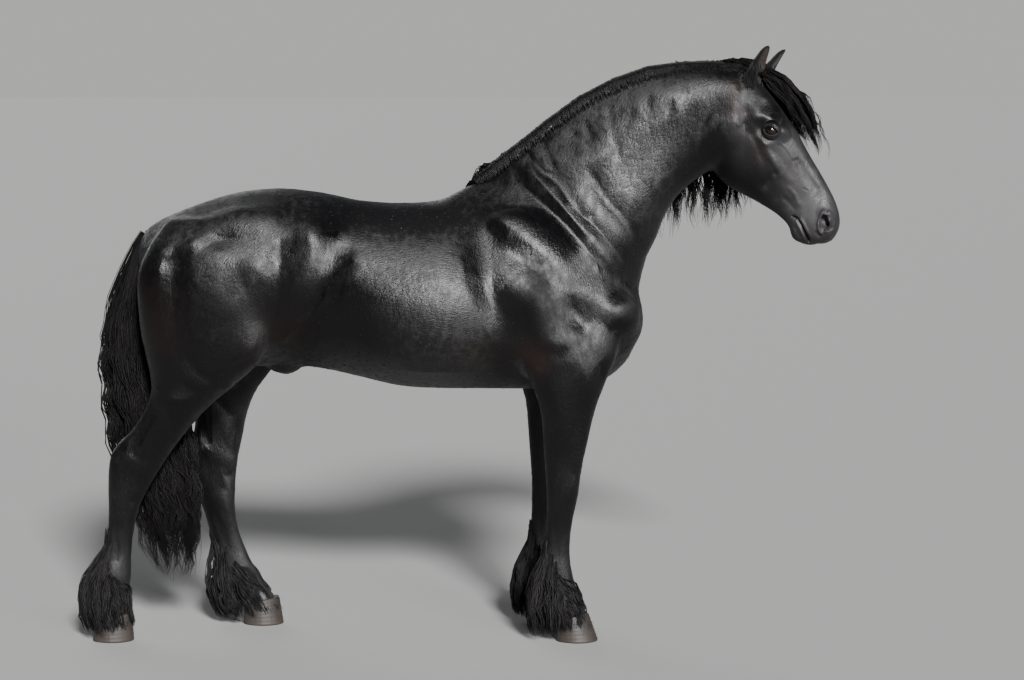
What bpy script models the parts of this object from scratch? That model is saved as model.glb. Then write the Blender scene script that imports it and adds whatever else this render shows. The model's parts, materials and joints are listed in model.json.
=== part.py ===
"""A life-size standing black stallion of the heavy, feathered riding type, as a museum model.

He faces +X and his right side is at -Y. The soles stand on z = 0, and the origin is on the
ground in the middle of his length and width.
"""

import math

import bmesh
import bpy
import numpy as np
from mathutils import Matrix, Vector

GRAIN = 0.011  # the size of the cells in which the lofted masses grow together
FLESH_TRIANGLES = 3250
EVENING, TRUNK_EVENING = 30, 80  # passes that smooth the joins of the masses, and more on the trunk
GAP = 0.0003  # between touching pieces
ROOM = 0.0008  # by which a body grows to cut its place in what lies on it
EAR_ROOM = 0.0022
MID = Vector((-0.006, 0.0, 0.0))  # from the measured frame to the middle of his length

HEAD_TURN = math.radians(-16)  # the nose is carried a little towards his right
POLL = Vector((1.0, 0.0, 1.975))
DOWN_THE_FACE = Vector((0.501, 0.0, -0.865))
OUT_OF_THE_FACE = Vector((0.865, 0.0, 0.501))

EYE_RADIUS = 0.0245
EYE_PLACE = (0.236, -0.002, 0.074)  # down the face, out of it, to the side
STEP_BACK = -0.05  # how far the left fore leg stands behind the right one

# A section is a closed curve through its top, its bottom and five points on each side, at these
# shares of the way down.
LEVELS = (0.04, 0.22, 0.50, 0.78, 0.96)

# Trunk: place along the body, height of the back and of the belly, half-widths at the levels.
TRUNK = [
    (-1.105, 1.365, 1.28, 0.015, 0.03, 0.035, 0.03, 0.015),
    (-1.075, 1.42, 1.17, 0.045, 0.095, 0.12, 0.10, 0.04),
    (-1.00, 1.470, 1.05, 0.070, 0.165, 0.200, 0.17, 0.07),
    (-0.89, 1.516, 0.97, 0.090, 0.205, 0.250, 0.21, 0.08),
    (-0.75, 1.555, 0.94, 0.105, 0.230, 0.275, 0.24, 0.09),
    (-0.61, 1.567, 0.945, 0.115, 0.240, 0.282, 0.235, 0.10),
    (-0.47, 1.553, 0.935, 0.120, 0.240, 0.285, 0.245, 0.11),
    (-0.33, 1.525, 0.905, 0.115, 0.240, 0.300, 0.265, 0.12),
    (-0.19, 1.515, 0.873, 0.110, 0.240, 0.310, 0.275, 0.125),
    (-0.05, 1.527, 0.864, 0.090, 0.228, 0.307, 0.270, 0.12),
    (0.08, 1.585, 0.863, 0.048, 0.185, 0.288, 0.255, 0.115),
    (0.20, 1.59, 0.862, 0.055, 0.180, 0.268, 0.235, 0.11),
    (0.32, 1.56, 0.862, 0.070, 0.178, 0.252, 0.225, 0.11),
    (0.44, 1.50, 0.870, 0.070, 0.175, 0.232, 0.205, 0.10),
    (0.54, 1.42, 0.905, 0.060, 0.150, 0.205, 0.180, 0.09),
    (0.605, 1.34, 0.965, 0.045, 0.110, 0.150, 0.130, 0.06),
    (0.638, 1.24, 1.04, 0.020, 0.055, 0.075, 0.065, 0.03),
]

# Neck: crest x and z, throat x and z, sideways shift, half-widths at the levels.
NECK = [
    (0.03, 1.52, 0.57, 1.00, 0, 0.05, 0.14, 0.20, 0.19, 0.08),
    (0.12, 1.59, 0.640, 1.12, 0, 0.045, 0.135, 0.195, 0.185, 0.08),
    (0.21, 1.680, 0.648, 1.215, 0, 0.035, 0.11, 0.170, 0.165, 0.075),
    (0.33, 1.775, 0.668, 1.315, 0, 0.030, 0.085, 0.140, 0.140, 0.065),
    (0.45, 1.865, 0.702, 1.385, 0, 0.028, 0.074, 0.120, 0.122, 0.058),
    (0.57, 1.930, 0.735, 1.47, 0, 0.028, 0.070, 0.106, 0.108, 0.052),
    (0.69, 1.970, 0.785, 1.545, 0, 0.030, 0.070, 0.096, 0.098, 0.048),
    (0.80, 1.985, 0.840, 1.592, -0.005, 0.032, 0.070, 0.090, 0.092, 0.045),
    (0.90, 1.988, 0.905, 1.635, -0.012, 0.035, 0.070, 0.088, 0.088, 0.042),
    (0.98, 1.975, 0.985, 1.68, -0.03, 0.035, 0.068, 0.080, 0.075, 0.036),
]

# Head: front line (down the face, out of it), rear line of jaw and chin, half-widths.
HEAD = [
    (-0.045, -0.03, -0.02, -0.12, 0.02, 0.045, 0.055, 0.045, 0.02),
    (-0.015, 0.005, 0.0, -0.145, 0.035, 0.068, 0.078, 0.068, 0.035),
    (0.04, 0.029, 0.05, -0.18, 0.045, 0.080, 0.088, 0.080, 0.040),
    (0.10, 0.046, 0.11, -0.222, 0.052, 0.088, 0.092, 0.086, 0.042),
    (0.17, 0.056, 0.19, -0.255, 0.056, 0.093, 0.093, 0.087, 0.045),
    (0.235, 0.062, 0.265, -0.261, 0.052, 0.090, 0.091, 0.084, 0.044),
    (0.30, 0.062, 0.33, -0.243, 0.044, 0.078, 0.084, 0.074, 0.038),
    (0.37, 0.061, 0.39, -0.205, 0.036, 0.064, 0.073, 0.060, 0.032),
    (0.44, 0.063, 0.45, -0.168, 0.030, 0.051, 0.060, 0.049, 0.027),
    (0.50, 0.0635, 0.50, -0.142, 0.027, 0.045, 0.052, 0.045, 0.025),
    (0.55, 0.061, 0.545, -0.128, 0.027, 0.048, 0.052, 0.044, 0.025),
    (0.60, 0.051, 0.59, -0.132, 0.029, 0.052, 0.054, 0.044, 0.026),
    (0.635, 0.035, 0.622, -0.121, 0.027, 0.047, 0.049, 0.039, 0.022),
    (0.66, 0.008, 0.645, -0.100, 0.019, 0.035, 0.037, 0.029, 0.015),
    (0.675, -0.025, 0.66, -0.070, 0.006, 0.012, 0.014, 0.012, 0.006),
]

# Legs on the right: front x and z, rear x and z, sideways place, half-width.
FORE_LEG = [
    (0.50, 1.16, 0.20, 1.18, -0.150, 0.075),
    (0.565, 1.07, 0.205, 1.08, -0.165, 0.088),
    (0.560, 0.99, 0.225, 0.99, -0.180, 0.088),
    (0.530, 0.92, 0.255, 0.92, -0.185, 0.080),
    (0.507, 0.86, 0.280, 0.86, -0.183, 0.072),
    (0.487, 0.80, 0.297, 0.80, -0.180, 0.064),
    (0.466, 0.71, 0.305, 0.71, -0.174, 0.055),
    (0.449, 0.63, 0.311, 0.63, -0.170, 0.049),
    (0.439, 0.575, 0.315, 0.575, -0.168, 0.048),
    (0.434, 0.53, 0.318, 0.53, -0.167, 0.049),
    (0.424, 0.475, 0.318, 0.475, -0.166, 0.042),
    (0.412, 0.42, 0.318, 0.42, -0.165, 0.035),
    (0.404, 0.35, 0.314, 0.35, -0.165, 0.031),
    (0.404, 0.285, 0.309, 0.28, -0.165, 0.033),
    (0.414, 0.225, 0.300, 0.215, -0.165, 0.041),
    (0.432, 0.165, 0.318, 0.140, -0.165, 0.038),
    (0.450, 0.115, 0.345, 0.085, -0.165, 0.044),
    (0.456, 0.085, 0.352, 0.060, -0.165, 0.046),
]
HIND_LEG = [
    (-0.62, 1.47, -0.98, 1.47, -0.11, 0.08),
    (-0.57, 1.36, -1.05, 1.37, -0.150, 0.110),
    (-0.57, 1.25, -1.085, 1.27, -0.163, 0.123),
    (-0.595, 1.14, -1.085, 1.17, -0.170, 0.128),
    (-0.625, 1.04, -1.075, 1.08, -0.173, 0.126),
    (-0.675, 0.965, -1.062, 1.00, -0.175, 0.118),
    (-0.75, 0.895, -1.047, 0.925, -0.175, 0.103),
    (-0.835, 0.825, -1.048, 0.855, -0.172, 0.085),
    (-0.905, 0.75, -1.078, 0.79, -0.168, 0.070),
    (-0.965, 0.675, -1.115, 0.735, -0.162, 0.058),
    (-1.015, 0.60, -1.162, 0.69, -0.156, 0.050),
    (-1.055, 0.535, -1.192, 0.64, -0.152, 0.048),
    (-1.082, 0.485, -1.200, 0.555, -0.150, 0.047),
    (-1.096, 0.445, -1.200, 0.47, -0.150, 0.042),
    (-1.110, 0.38, -1.203, 0.385, -0.152, 0.035),
    (-1.118, 0.30, -1.212, 0.30, -0.155, 0.034),
    (-1.120, 0.225, -1.235, 0.215, -0.158, 0.043),
    (-1.128, 0.165, -1.240, 0.140, -0.160, 0.040),
    (-1.130, 0.115, -1.246, 0.085, -0.161, 0.045),
    (-1.130, 0.085, -1.250, 0.060, -0.162, 0.047),
]
# The left hind leg is carried forward, under the body.
HIND_LEG_FORWARD = [
    (-0.60, 1.47, -0.98, 1.47, 0.11, 0.08),
    (-0.55, 1.36, -1.04, 1.37, 0.150, 0.110),
    (-0.54, 1.25, -1.06, 1.27, 0.163, 0.123),
    (-0.55, 1.14, -1.055, 1.17, 0.170, 0.128),
    (-0.575, 1.04, -1.03, 1.07, 0.173, 0.126),
    (-0.615, 0.965, -1.00, 0.985, 0.175, 0.118),
    (-0.665, 0.90, -0.96, 0.91, 0.175, 0.103),
    (-0.715, 0.83, -0.935, 0.84, 0.172, 0.085),
    (-0.745, 0.75, -0.93, 0.77, 0.168, 0.070),
    (-0.76, 0.67, -0.935, 0.70, 0.162, 0.058),
    (-0.775, 0.60, -0.950, 0.635, 0.156, 0.050),
    (-0.782, 0.54, -0.957, 0.575, 0.152, 0.048),
    (-0.786, 0.48, -0.942, 0.50, 0.150, 0.047),
    (-0.787, 0.42, -0.908, 0.425, 0.150, 0.042),
    (-0.777, 0.35, -0.885, 0.345, 0.152, 0.035),
    (-0.752, 0.275, -0.860, 0.26, 0.155, 0.034),
    (-0.720, 0.205, -0.840, 0.175, 0.158, 0.043),
    (-0.690, 0.15, -0.800, 0.105, 0.160, 0.040),
    (-0.655, 0.105, -0.770, 0.075, 0.161, 0.045),
    (-0.642, 0.080, -0.760, 0.055, 0.162, 0.047),
]

# Masses that stand out of the lofts: middle, radii, pitch in degrees. All but the sheath are
# made on both sides.
MASSES = [
    ((0.31, 0.150, 1.28), (0.27, 0.085, 0.16), 48),
    ((0.285, 0.185, 1.08), (0.13, 0.080, 0.13), 20),
    ((0.535, 0.135, 1.13), (0.095, 0.090, 0.10), 0),
    ((0.500, 0.080, 1.04), (0.100, 0.090, 0.12), 0),
    ((-0.70, 0.115, 1.40), (0.27, 0.130, 0.12), -8),
]
SHEATH = ((-0.605, 0.0, 0.955), (0.068, 0.05, 0.042), 12)

# Relief on the body's right side, repeated on the left: a mound (or a hollow, with a negative
# height) along a line of points, how far it reaches across, its height.
RELIEF = [
    ([(0.12, -0.14, 1.56), (0.36, -0.20, 1.40), (0.54, -0.21, 1.20)], 0.085, -0.012),
    ([(0.09, -0.22, 1.46), (0.12, -0.28, 1.25), (0.19, -0.29, 1.10), (0.26, -0.27, 0.97)], 0.085, -0.016),
    ([(0.18, -0.25, 1.28), (0.33, -0.27, 1.12), (0.37, -0.27, 1.00)], 0.10, 0.013),
    ([(0.39, -0.25, 1.20), (0.46, -0.25, 1.08), (0.48, -0.26, 0.95)], 0.050, -0.010),
    ([(0.575, -0.16, 1.14)], 0.09, 0.008),
    ([(0.61, -0.06, 1.20), (0.60, -0.07, 1.04)], 0.12, 0.024),
    ([(0.64, 0.0, 1.24), (0.62, 0.0, 1.10), (0.55, 0.0, 0.94)], 0.045, -0.016),
    ([(0.275, -0.25, 0.945)], 0.05, 0.012),
    ([(0.36, -0.25, 0.92), (0.38, -0.23, 0.66)], 0.060, 0.009),
    ([(0.465, -0.22, 0.96), (0.42, -0.21, 0.66)], 0.030, -0.006),
    ([(-0.475, -0.235, 1.425)], 0.10, 0.014),
    ([(-0.37, -0.26, 1.40), (-0.44, -0.28, 1.24), (-0.53, -0.27, 1.10), (-0.62, -0.24, 0.98)], 0.085, -0.018),
    ([(-0.67, -0.27, 1.10), (-0.71, -0.27, 0.93)], 0.10, 0.014),
    ([(-0.66, -0.27, 1.40), (-0.84, -0.29, 1.12)], 0.17, 0.014),
    ([(-0.94, -0.22, 1.42), (-0.95, -0.28, 1.22), (-0.93, -0.27, 0.98)], 0.060, -0.013),
    ([(-1.03, -0.20, 1.34), (-1.03, -0.22, 1.02)], 0.085, 0.008),
    ([(-0.84, -0.25, 0.97), (-0.97, -0.23, 0.78)], 0.075, 0.008),
    ([(-0.98, -0.20, 0.88), (-1.10, -0.18, 0.70)], 0.035, -0.012),
    ([(0.92, -0.10, 1.76), (0.80, -0.115, 1.62), (0.71, -0.125, 1.44), (0.61, -0.14, 1.26)], 0.050, -0.012),
    ([(0.84, -0.08, 1.92), (0.60, -0.10, 1.80), (0.38, -0.13, 1.60)], 0.12, 0.009),
    ([(-0.30, 0.0, 1.53), (-0.62, 0.0, 1.58), (-1.00, 0.0, 1.48)], 0.045, -0.010),
]
# The same on the head, by distance down the face, out of it and to the side.
HEAD_RELIEF = [
    ([(-0.01, 0.015, 0.042), (0.07, 0.015, 0.055)], 0.042, 0.013),
    ([(0.205, 0.022, 0.088), (0.250, 0.014, 0.088)], 0.030, 0.009),
    ([(0.235, -0.034, 0.090), (0.285, -0.030, 0.082)], 0.026, 0.006),
    ([(0.150, 0.028, 0.085)], 0.038, -0.008),
    ([(0.30, -0.048, 0.08), (0.44, -0.030, 0.06)], 0.024, 0.005),
    ([(0.17, -0.14, 0.09), (0.23, -0.17, 0.085)], 0.11, 0.010),
    ([(0.36, 0.022, 0.062), (0.52, 0.030, 0.046)], 0.026, -0.006),
    ([(0.36, -0.11, 0.07), (0.47, -0.10, 0.05)], 0.045, -0.006),
    ([(0.565, 0.022, 0.050), (0.625, -0.010, 0.046)], 0.030, 0.010),
    ([(0.590, 0.010, 0.056), (0.618, -0.012, 0.052)], 0.016, -0.018),
    (
        [(0.520, -0.088, 0.05), (0.60, -0.086, 0.048), (0.655, -0.076, 0.03), (0.668, -0.070, 0.0)],
        0.013,
        -0.009,
    ),
    ([(0.595, -0.120, 0.0)], 0.035, 0.006),
]

# Cuts that part the flesh: a block's middle, size and pitch in degrees.
HEAD_BLOCK = ((1.435, 0.0, 1.70), (1.0, 0.8, 1.4), 12.2)
NECK_BLOCK = ((0.788, 0.0, 1.839), (1.2, 0.8, 2.0), -48.5)
ELBOW, KNEE, STIFLE, HOCK = 0.94, 0.43, 1.00, 0.47
FORE_SPAN, HIND_SPAN = (0.15, 0.68), (-1.35, -0.565)  # rear and front of the blocks around the legs
LEG_INSIDE, LEG_OUTSIDE = 0.085, 0.485  # the cuts on each side of a leg, from the midline
UNDER_SOLE = -0.1

# Hooves: middle of the sole, length and width of the sole.
HOOVES = {
    "right_fore": ((0.425, -0.166), 0.150, 0.138, FORE_LEG[-1], 0.0),
    "left_fore": ((0.425, 0.166), 0.150, 0.138, FORE_LEG[-1], STEP_BACK),
    "right_hind": ((-1.187, -0.162), 0.148, 0.130, HIND_LEG[-1], 0.0),
    "left_hind": ((-0.692, 0.162), 0.148, 0.130, HIND_LEG_FORWARD[-1], 0.0),
}
HOOF_HEIGHT = 0.088
HOOF_FRONT_RIM, HOOF_SIDE_RIM, HOOF_REAR_RIM = 0.008, 0.010, 0.004  # past the flesh at the coronet
SOLE_BEVEL = 0.004
HEEL_NARROWING = 0.12
CORONET_TILT = 0.012  # the coronet is higher in front by this

# Feather: height, rear x, front x, sideways half-width, on the right fore leg and hind leg and
# on the left hind leg.
FORE_FEATHER = [
    (0.39, 0.322, 0.365, 0.010),
    (0.33, 0.293, 0.395, 0.030),
    (0.27, 0.278, 0.412, 0.046),
    (0.21, 0.262, 0.424, 0.062),
    (0.15, 0.246, 0.442, 0.076),
    (0.10, 0.243, 0.466, 0.086),
    (0.05, 0.250, 0.480, 0.090),
    (0.028, 0.268, 0.474, 0.082),
]
HIND_FEATHER = [
    (0.44, -1.208, -1.150, 0.010),
    (0.37, -1.222, -1.125, 0.030),
    (0.30, -1.262, -1.112, 0.046),
    (0.23, -1.296, -1.108, 0.064),
    (0.16, -1.314, -1.106, 0.078),
    (0.10, -1.306, -1.108, 0.088),
    (0.05, -1.286, -1.112, 0.090),
    (0.028, -1.270, -1.120, 0.082),
]
HIND_FEATHER_FORWARD = [
    (0.42, -0.912, -0.850, 0.010),
    (0.35, -0.898, -0.795, 0.030),
    (0.29, -0.890, -0.757, 0.046),
    (0.22, -0.893, -0.722, 0.064),
    (0.16, -0.898, -0.690, 0.078),
    (0.10, -0.890, -0.648, 0.088),
    (0.05, -0.868, -0.614, 0.090),
    (0.028, -0.852, -0.610, 0.082),
]
# The feather of each leg: its rows, its sideways middle and how far back it stands.
FEATHERS = {
    "right_fore": (FORE_FEATHER, -0.166, 0.0),
    "left_fore": (FORE_FEATHER, 0.166, STEP_BACK),
    "right_hind": (HIND_FEATHER, -0.162, 0.0),
    "left_hind": (HIND_FEATHER_FORWARD, 0.162, 0.0),
}

# Tail: height, rear x, front x, sideways middle, half-width.
TAIL = [
    (1.418, -1.096, -1.020, 0.0, 0.030),
    (1.36, -1.132, -1.035, 0.0, 0.046),
    (1.25, -1.170, -1.050, 0.004, 0.058),
    (1.12, -1.212, -1.055, 0.008, 0.070),
    (0.98, -1.232, -1.045, 0.010, 0.080),
    (0.84, -1.222, -0.985, 0.010, 0.084),
    (0.70, -1.212, -0.918, 0.008, 0.082),
    (0.56, -1.190, -0.890, 0.006, 0.076),
    (0.44, -1.140, -0.875, 0.004, 0.068),
    (0.32, -1.080, -0.865, 0.0, 0.054),
    (0.22, -1.010, -0.860, 0.0, 0.036),
    (0.17, -0.960, -0.880, 0.0, 0.016),
]

# Mane, from withers to poll: crest x and z, how far the hem hangs below the crest, how far out
# to the left the hair lies.
MANE = [
    (0.085, 1.612, 0.10, 0.045),
    (0.15, 1.668, 0.27, 0.105),
    (0.24, 1.728, 0.40, 0.150),
    (0.34, 1.808, 0.50, 0.172),
    (0.45, 1.888, 0.56, 0.168),
    (0.57, 1.950, 0.60, 0.156),
    (0.69, 1.992, 0.615, 0.148),
    (0.80, 2.006, 0.60, 0.142),
    (0.90, 2.010, 0.585, 0.138),
    (0.97, 2.004, 0.56, 0.130),
    (1.02, 1.990, 0.46, 0.110),
]
# Across the mane, from under the crest on the right over to the left and back under it: places
# sideways and down, each in metres and as a share of how far out and down the hair hangs.
MANE_SECTION = [
    (-0.034, 0.0, 0.050, 0.0),
    (-0.026, 0.0, 0.016, 0.0),
    (0.0, 0.0, 0.0, 0.0),
    (0.035, 0.0, 0.012, 0.0),
    (0.0, 0.62, 0.0, 0.16),
    (0.0, 0.92, 0.0, 0.40),
    (0.0, 1.0, 0.0, 0.70),
    (0.0, 0.97, 0.0, 0.97),
    (0.0, 0.90, 0.0, 1.0),
    (0.0, 0.78, 0.0, 0.95),
    (0.0, 0.64, 0.0, 0.66),
    (0.0, 0.40, 0.0, 0.36),
    (0.0, 0.0, 0.060, 0.0),
]
# Forelock: distances down the face and out of it, sideways middle, half-width, half-thickness.
FORELOCK_SAG = 0.35  # how much the hair bends round the forehead, by its half-width
FORELOCK = [
    (-0.045, 0.012, 0.010, 0.030, 0.018),
    (-0.010, 0.036, 0.012, 0.036, 0.026),
    (0.030, 0.062, 0.016, 0.048, 0.034),
    (0.100, 0.088, 0.022, 0.066, 0.042),
    (0.180, 0.104, 0.026, 0.070, 0.046),
    (0.250, 0.104, 0.030, 0.062, 0.045),
    (0.325, 0.094, 0.034, 0.048, 0.036),
    (0.400, 0.072, 0.036, 0.022, 0.018),
]
EAR_ROOTS = {-1: (0.076, 0.012, 0.046), 1: (0.101, 0.005, 0.045)}  # down the face, out, to the side
EAR_TIPS = {-1: (-0.018, 0.132, 0.066), 1: (0.007, 0.152, 0.085)}
EAR_OUTWARD = 0.08  # how much the opening faces outward, for 1 forward
EAR_BOW = 0.011
EAR_CUP = 0.62  # the radius of the hollow, for 1 outside
# Ear: share of its length, radius of the cup, half of the angle that its wall goes round.
EAR = [
    (0.0, 0.0210, 125),
    (0.2, 0.0240, 118),
    (0.4, 0.0275, 110),
    (0.6, 0.0290, 104),
    (0.75, 0.0240, 104),
    (0.87, 0.0190, 106),
    (0.95, 0.0125, 108),
    (1.0, 0.0050, 108),
]


def along(rows, step, key):
    """Rows read along a smooth curve, one about every `step` metres of the columns in `key`."""
    rows = np.array(rows, float)
    legs = np.linalg.norm(np.diff(rows[:, key], axis=0), axis=1)
    run = np.concatenate([[0], np.cumsum(legs)])
    slope = np.gradient(rows, run, axis=0)
    place = np.linspace(0, run[-1], max(2, round(run[-1] / step) + 1))
    i = np.clip(np.searchsorted(run, place, "right") - 1, 0, len(run) - 2)
    h = (run[i + 1] - run[i])[:, None]
    u = (place - run[i])[:, None] / h
    return (
        (1 + 2 * u) * (1 - u) ** 2 * rows[i]
        + u * (1 - u) ** 2 * h * slope[i]
        + u * u * (3 - 2 * u) * rows[i + 1]
        + u * u * (u - 1) * h * slope[i + 1]
    )


def around(points, count):
    """A smooth closed curve through the points."""
    n = len(points)
    place = np.arange(count) * n / count
    i = place.astype(int)
    u = (place - i)[:, None]
    a, b, c, d = (points[(i + k) % n] for k in (-1, 0, 1, 2))
    return 0.5 * (
        2 * b
        + (c - a) * u
        + (2 * a - 5 * b + 4 * c - d) * u * u
        + (3 * b - a - 3 * c + d) * u**3
    )


def section(row, count):
    """A ring from top x and z, bottom x and z, sideways place, half-widths at the levels."""
    top = np.array([row[0], row[4], row[1]])
    bottom = np.array([row[2], row[4], row[3]])
    side = np.array([0.0, 1.0, 0.0])
    left = [top + f * (bottom - top) + w * side for f, w in zip(LEVELS, row[5:])]
    right = [top + f * (bottom - top) - w * side for f, w in zip(LEVELS, row[5:])]
    return around(np.array([top, *left, bottom, *right[::-1]]), count)


def new_object(name, verts, faces):
    mesh = bpy.data.meshes.new(name)
    mesh.from_pydata([tuple(v) for v in verts], [], faces)
    bm = bmesh.new()
    bm.from_mesh(mesh)
    bmesh.ops.recalc_face_normals(bm, faces=bm.faces)
    bm.to_mesh(mesh)
    bm.free()
    obj = bpy.data.objects.new(name, mesh)
    bpy.context.scene.collection.objects.link(obj)
    return obj


def through(name, rings):
    """A closed body through rings of equally many points, with a flat face at each end."""
    rings = np.array(rings)
    n, m = rings.shape[:2]
    faces = [
        (i * m + j, i * m + (j + 1) % m, (i + 1) * m + (j + 1) % m, (i + 1) * m + j)
        for i in range(n - 1)
        for j in range(m)
    ]
    faces += [tuple(range(m)), tuple((n - 1) * m + j for j in range(m))]
    return new_object(name, rings.reshape(-1, 3), faces)


def loft(name, rows, step=0.02, count=40, turn=None):
    rings = [section(row, count) for row in along(rows, step, [0, 1, 2, 3])]
    if turn is not None:
        rings = [[turn @ Vector(p) for p in ring] for ring in rings]
    return through(name, rings)


def round_section(half_width, fullness=2.3):
    """Half-widths at the levels of a section that is nearly an ellipse."""
    return [half_width * (1 - abs(2 * f - 1) ** fullness) ** (1 / fullness) for f in LEVELS]


def leg(name, rows):
    return loft(name, [(*row[:5], *round_section(row[5])) for row in rows])


def head_frame():
    """Takes (down the face, to the left, out of the face) to the world."""
    axes = Matrix((DOWN_THE_FACE, Vector((0, 1, 0)), OUT_OF_THE_FACE)).transposed()
    return Matrix.Translation(POLL) @ Matrix.Rotation(HEAD_TURN, 4, "Z") @ axes.to_4x4()


def on_head(down, out, side):
    return head_frame() @ Vector((down, side, out))


def ball(name, place, radii, pitch=0):
    bpy.ops.mesh.primitive_uv_sphere_add(segments=32, ring_count=20, location=place)
    obj = bpy.context.object
    obj.name = name
    obj.scale = radii
    obj.rotation_euler = (0, math.radians(pitch), 0)
    return obj


def masses():
    """The lofts and balls that his flesh is built from."""
    found = [
        loft("trunk_mass", [(x, top, x, low, 0, *w) for x, top, low, *w in TRUNK]),
        loft("neck_mass", NECK),
        leg("right_fore_mass", FORE_LEG),
        leg("left_fore_mass", [(a + STEP_BACK, b, c + STEP_BACK, d, -y, w) for a, b, c, d, y, w in FORE_LEG]),
        leg("right_hind_mass", HIND_LEG),
        leg("left_hind_mass", HIND_LEG_FORWARD),
        ball("sheath_mass", *SHEATH),
    ]
    rows = [(a, b, c, d, 0, *w) for a, b, c, d, *w in HEAD]
    found.append(loft("head_mass", rows, step=0.012, turn=head_frame()))
    for (x, y, z), radii, pitch in MASSES:
        for side in (-1, 1):
            found.append(ball("muscle_mass", (x, y * side, z), radii, pitch))
    return found


def evaluated(obj):
    """The object's mesh as its modifiers leave it, in world space."""
    bpy.context.view_layer.update()
    graph = bpy.context.evaluated_depsgraph_get()
    mesh = bpy.data.meshes.new_from_object(obj.evaluated_get(graph))
    mesh.transform(obj.matrix_world)
    return mesh


def settle(obj):
    """Puts the result of its modifiers in the object's own mesh."""
    mesh = evaluated(obj)
    obj.modifiers.clear()
    obj.data = mesh
    obj.matrix_world = Matrix.Identity(4)
    return obj


def grown_together(name, pieces):
    """One skin over the pieces."""
    bm = bmesh.new()
    for obj in pieces:
        mesh = evaluated(obj)
        bm.from_mesh(mesh)
        bpy.data.objects.remove(obj)
    mesh = bpy.data.meshes.new(name)
    bm.to_mesh(mesh)
    bm.free()
    obj = bpy.data.objects.new(name, mesh)
    bpy.context.scene.collection.objects.link(obj)
    skin = obj.modifiers.new("skin", "REMESH")
    skin.mode = "VOXEL"
    skin.voxel_size = GRAIN
    skin.adaptivity = 0
    return settle(obj)


def points_of(mesh):
    flat = np.empty(len(mesh.vertices) * 3, np.float32)
    mesh.vertices.foreach_get("co", flat)
    return flat.reshape(-1, 3).astype(float)


def normals_of(mesh):
    flat = np.empty(len(mesh.vertices) * 3, np.float32)
    mesh.vertices.foreach_get("normal", flat)
    return flat.reshape(-1, 3).astype(float)


def put_points(mesh, points):
    mesh.vertices.foreach_set("co", points.astype(np.float32).ravel())
    mesh.update()


def smooth(mesh, passes, weight):
    """Evens out the surface without shrinking it, as far as each point's weight allows."""
    ends = np.empty(len(mesh.edges) * 2, np.int32)
    mesh.edges.foreach_get("vertices", ends)
    a, b = ends.reshape(-1, 2).T
    points = points_of(mesh)
    count = np.bincount(ends, minlength=len(points))[:, None]

    def pull():
        total = np.zeros_like(points)
        for k in range(3):
            total[:, k] += np.bincount(a, points[b, k], len(points))
            total[:, k] += np.bincount(b, points[a, k], len(points))
        return (total / count - points) * weight[:, None]

    for _ in range(passes):
        points += 0.6 * pull()
        points -= 0.61 * pull()
    put_points(mesh, points)


def mound(points, line, reach):
    """1 on a line of straight runs, falling to 0 at its reach, and lower towards its ends."""
    line = np.array(line)
    if len(line) == 1:
        away = np.linalg.norm(points - line[0], axis=1)
        return np.clip(1 - (away / reach) ** 2, 0, 1) ** 2
    best = np.full(len(points), np.inf)
    place = np.zeros(len(points))
    for k, (a, b) in enumerate(zip(line, line[1:])):
        share = np.clip((points - a) @ (b - a) / ((b - a) @ (b - a)), 0, 1)
        away = np.linalg.norm(points - a - share[:, None] * (b - a), axis=1)
        nearer = away < best
        best[nearer] = away[nearer]
        place[nearer] = (k + share[nearer]) / (len(line) - 1)
    ends = np.clip(5 * place * (1 - place) + 0.15, 0, 1)
    return np.clip(1 - (best / reach) ** 2, 0, 1) ** 2 * ends


def hind_shift(z):
    """How far the left hind leg is in front of the right one at this height."""

    def middle(rows):
        rows = np.array(rows)[::-1]
        return np.interp(z, (rows[:, 1] + rows[:, 3]) / 2, (rows[:, 0] + rows[:, 2]) / 2)

    return middle(HIND_LEG_FORWARD) - middle(HIND_LEG)


def square_stance(points):
    """The points with the left legs moved level with the right ones and put on that side."""
    x, y, z = points.T
    left = y > 0
    hind = np.where(x < -0.45, hind_shift(z) * np.clip((1.25 - z) / 0.2, 0, 1), 0)
    fore = np.where(x > 0.1, STEP_BACK * np.clip((1.1 - z) / 0.2, 0, 1), 0)
    return np.stack([x - left * (hind + fore), -abs(y), z], axis=1)


def in_head(points):
    """Distance down the face, out of it and to the left of the middle of the head."""
    inverse = np.array(head_frame().inverted())
    down, side, out = (points @ inverse[:3, :3].T + inverse[:3, 3]).T
    return down, out, side


def even_out(mesh):
    """Smooths the joins of the masses. Returns where the face is, which keeps more of its shape."""
    points = points_of(mesh)
    down, out, _ = in_head(points)
    face = (down > 0.05) & (out > -0.24) & (points[:, 0] > 0.85)
    smooth(mesh, EVENING, np.where(face, 0.25, np.where(points[:, 2] < 0.75, 0.35, 1.0)))
    on_trunk = np.clip((points[:, 2] - 0.85) / 0.15, 0, 1) * np.clip((0.75 - points[:, 0]) / 0.2, 0, 1)
    smooth(mesh, TRUNK_EVENING, on_trunk)
    return face


def raise_relief(mesh):
    """Muscles, grooves, cheek, nostrils and lips, as soft mounds and hollows."""
    points, normals = points_of(mesh), normals_of(mesh)
    body = square_stance(points)
    down, out, side = in_head(points)
    head = np.stack([down, out, abs(side)], axis=1)
    height = np.zeros(len(points))
    for frame, relief in ((body, RELIEF), (head, HEAD_RELIEF)):
        for line, reach, rise in relief:
            height += rise * mound(frame, line, reach)
    put_points(mesh, points + normals * height[:, None])


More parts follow.
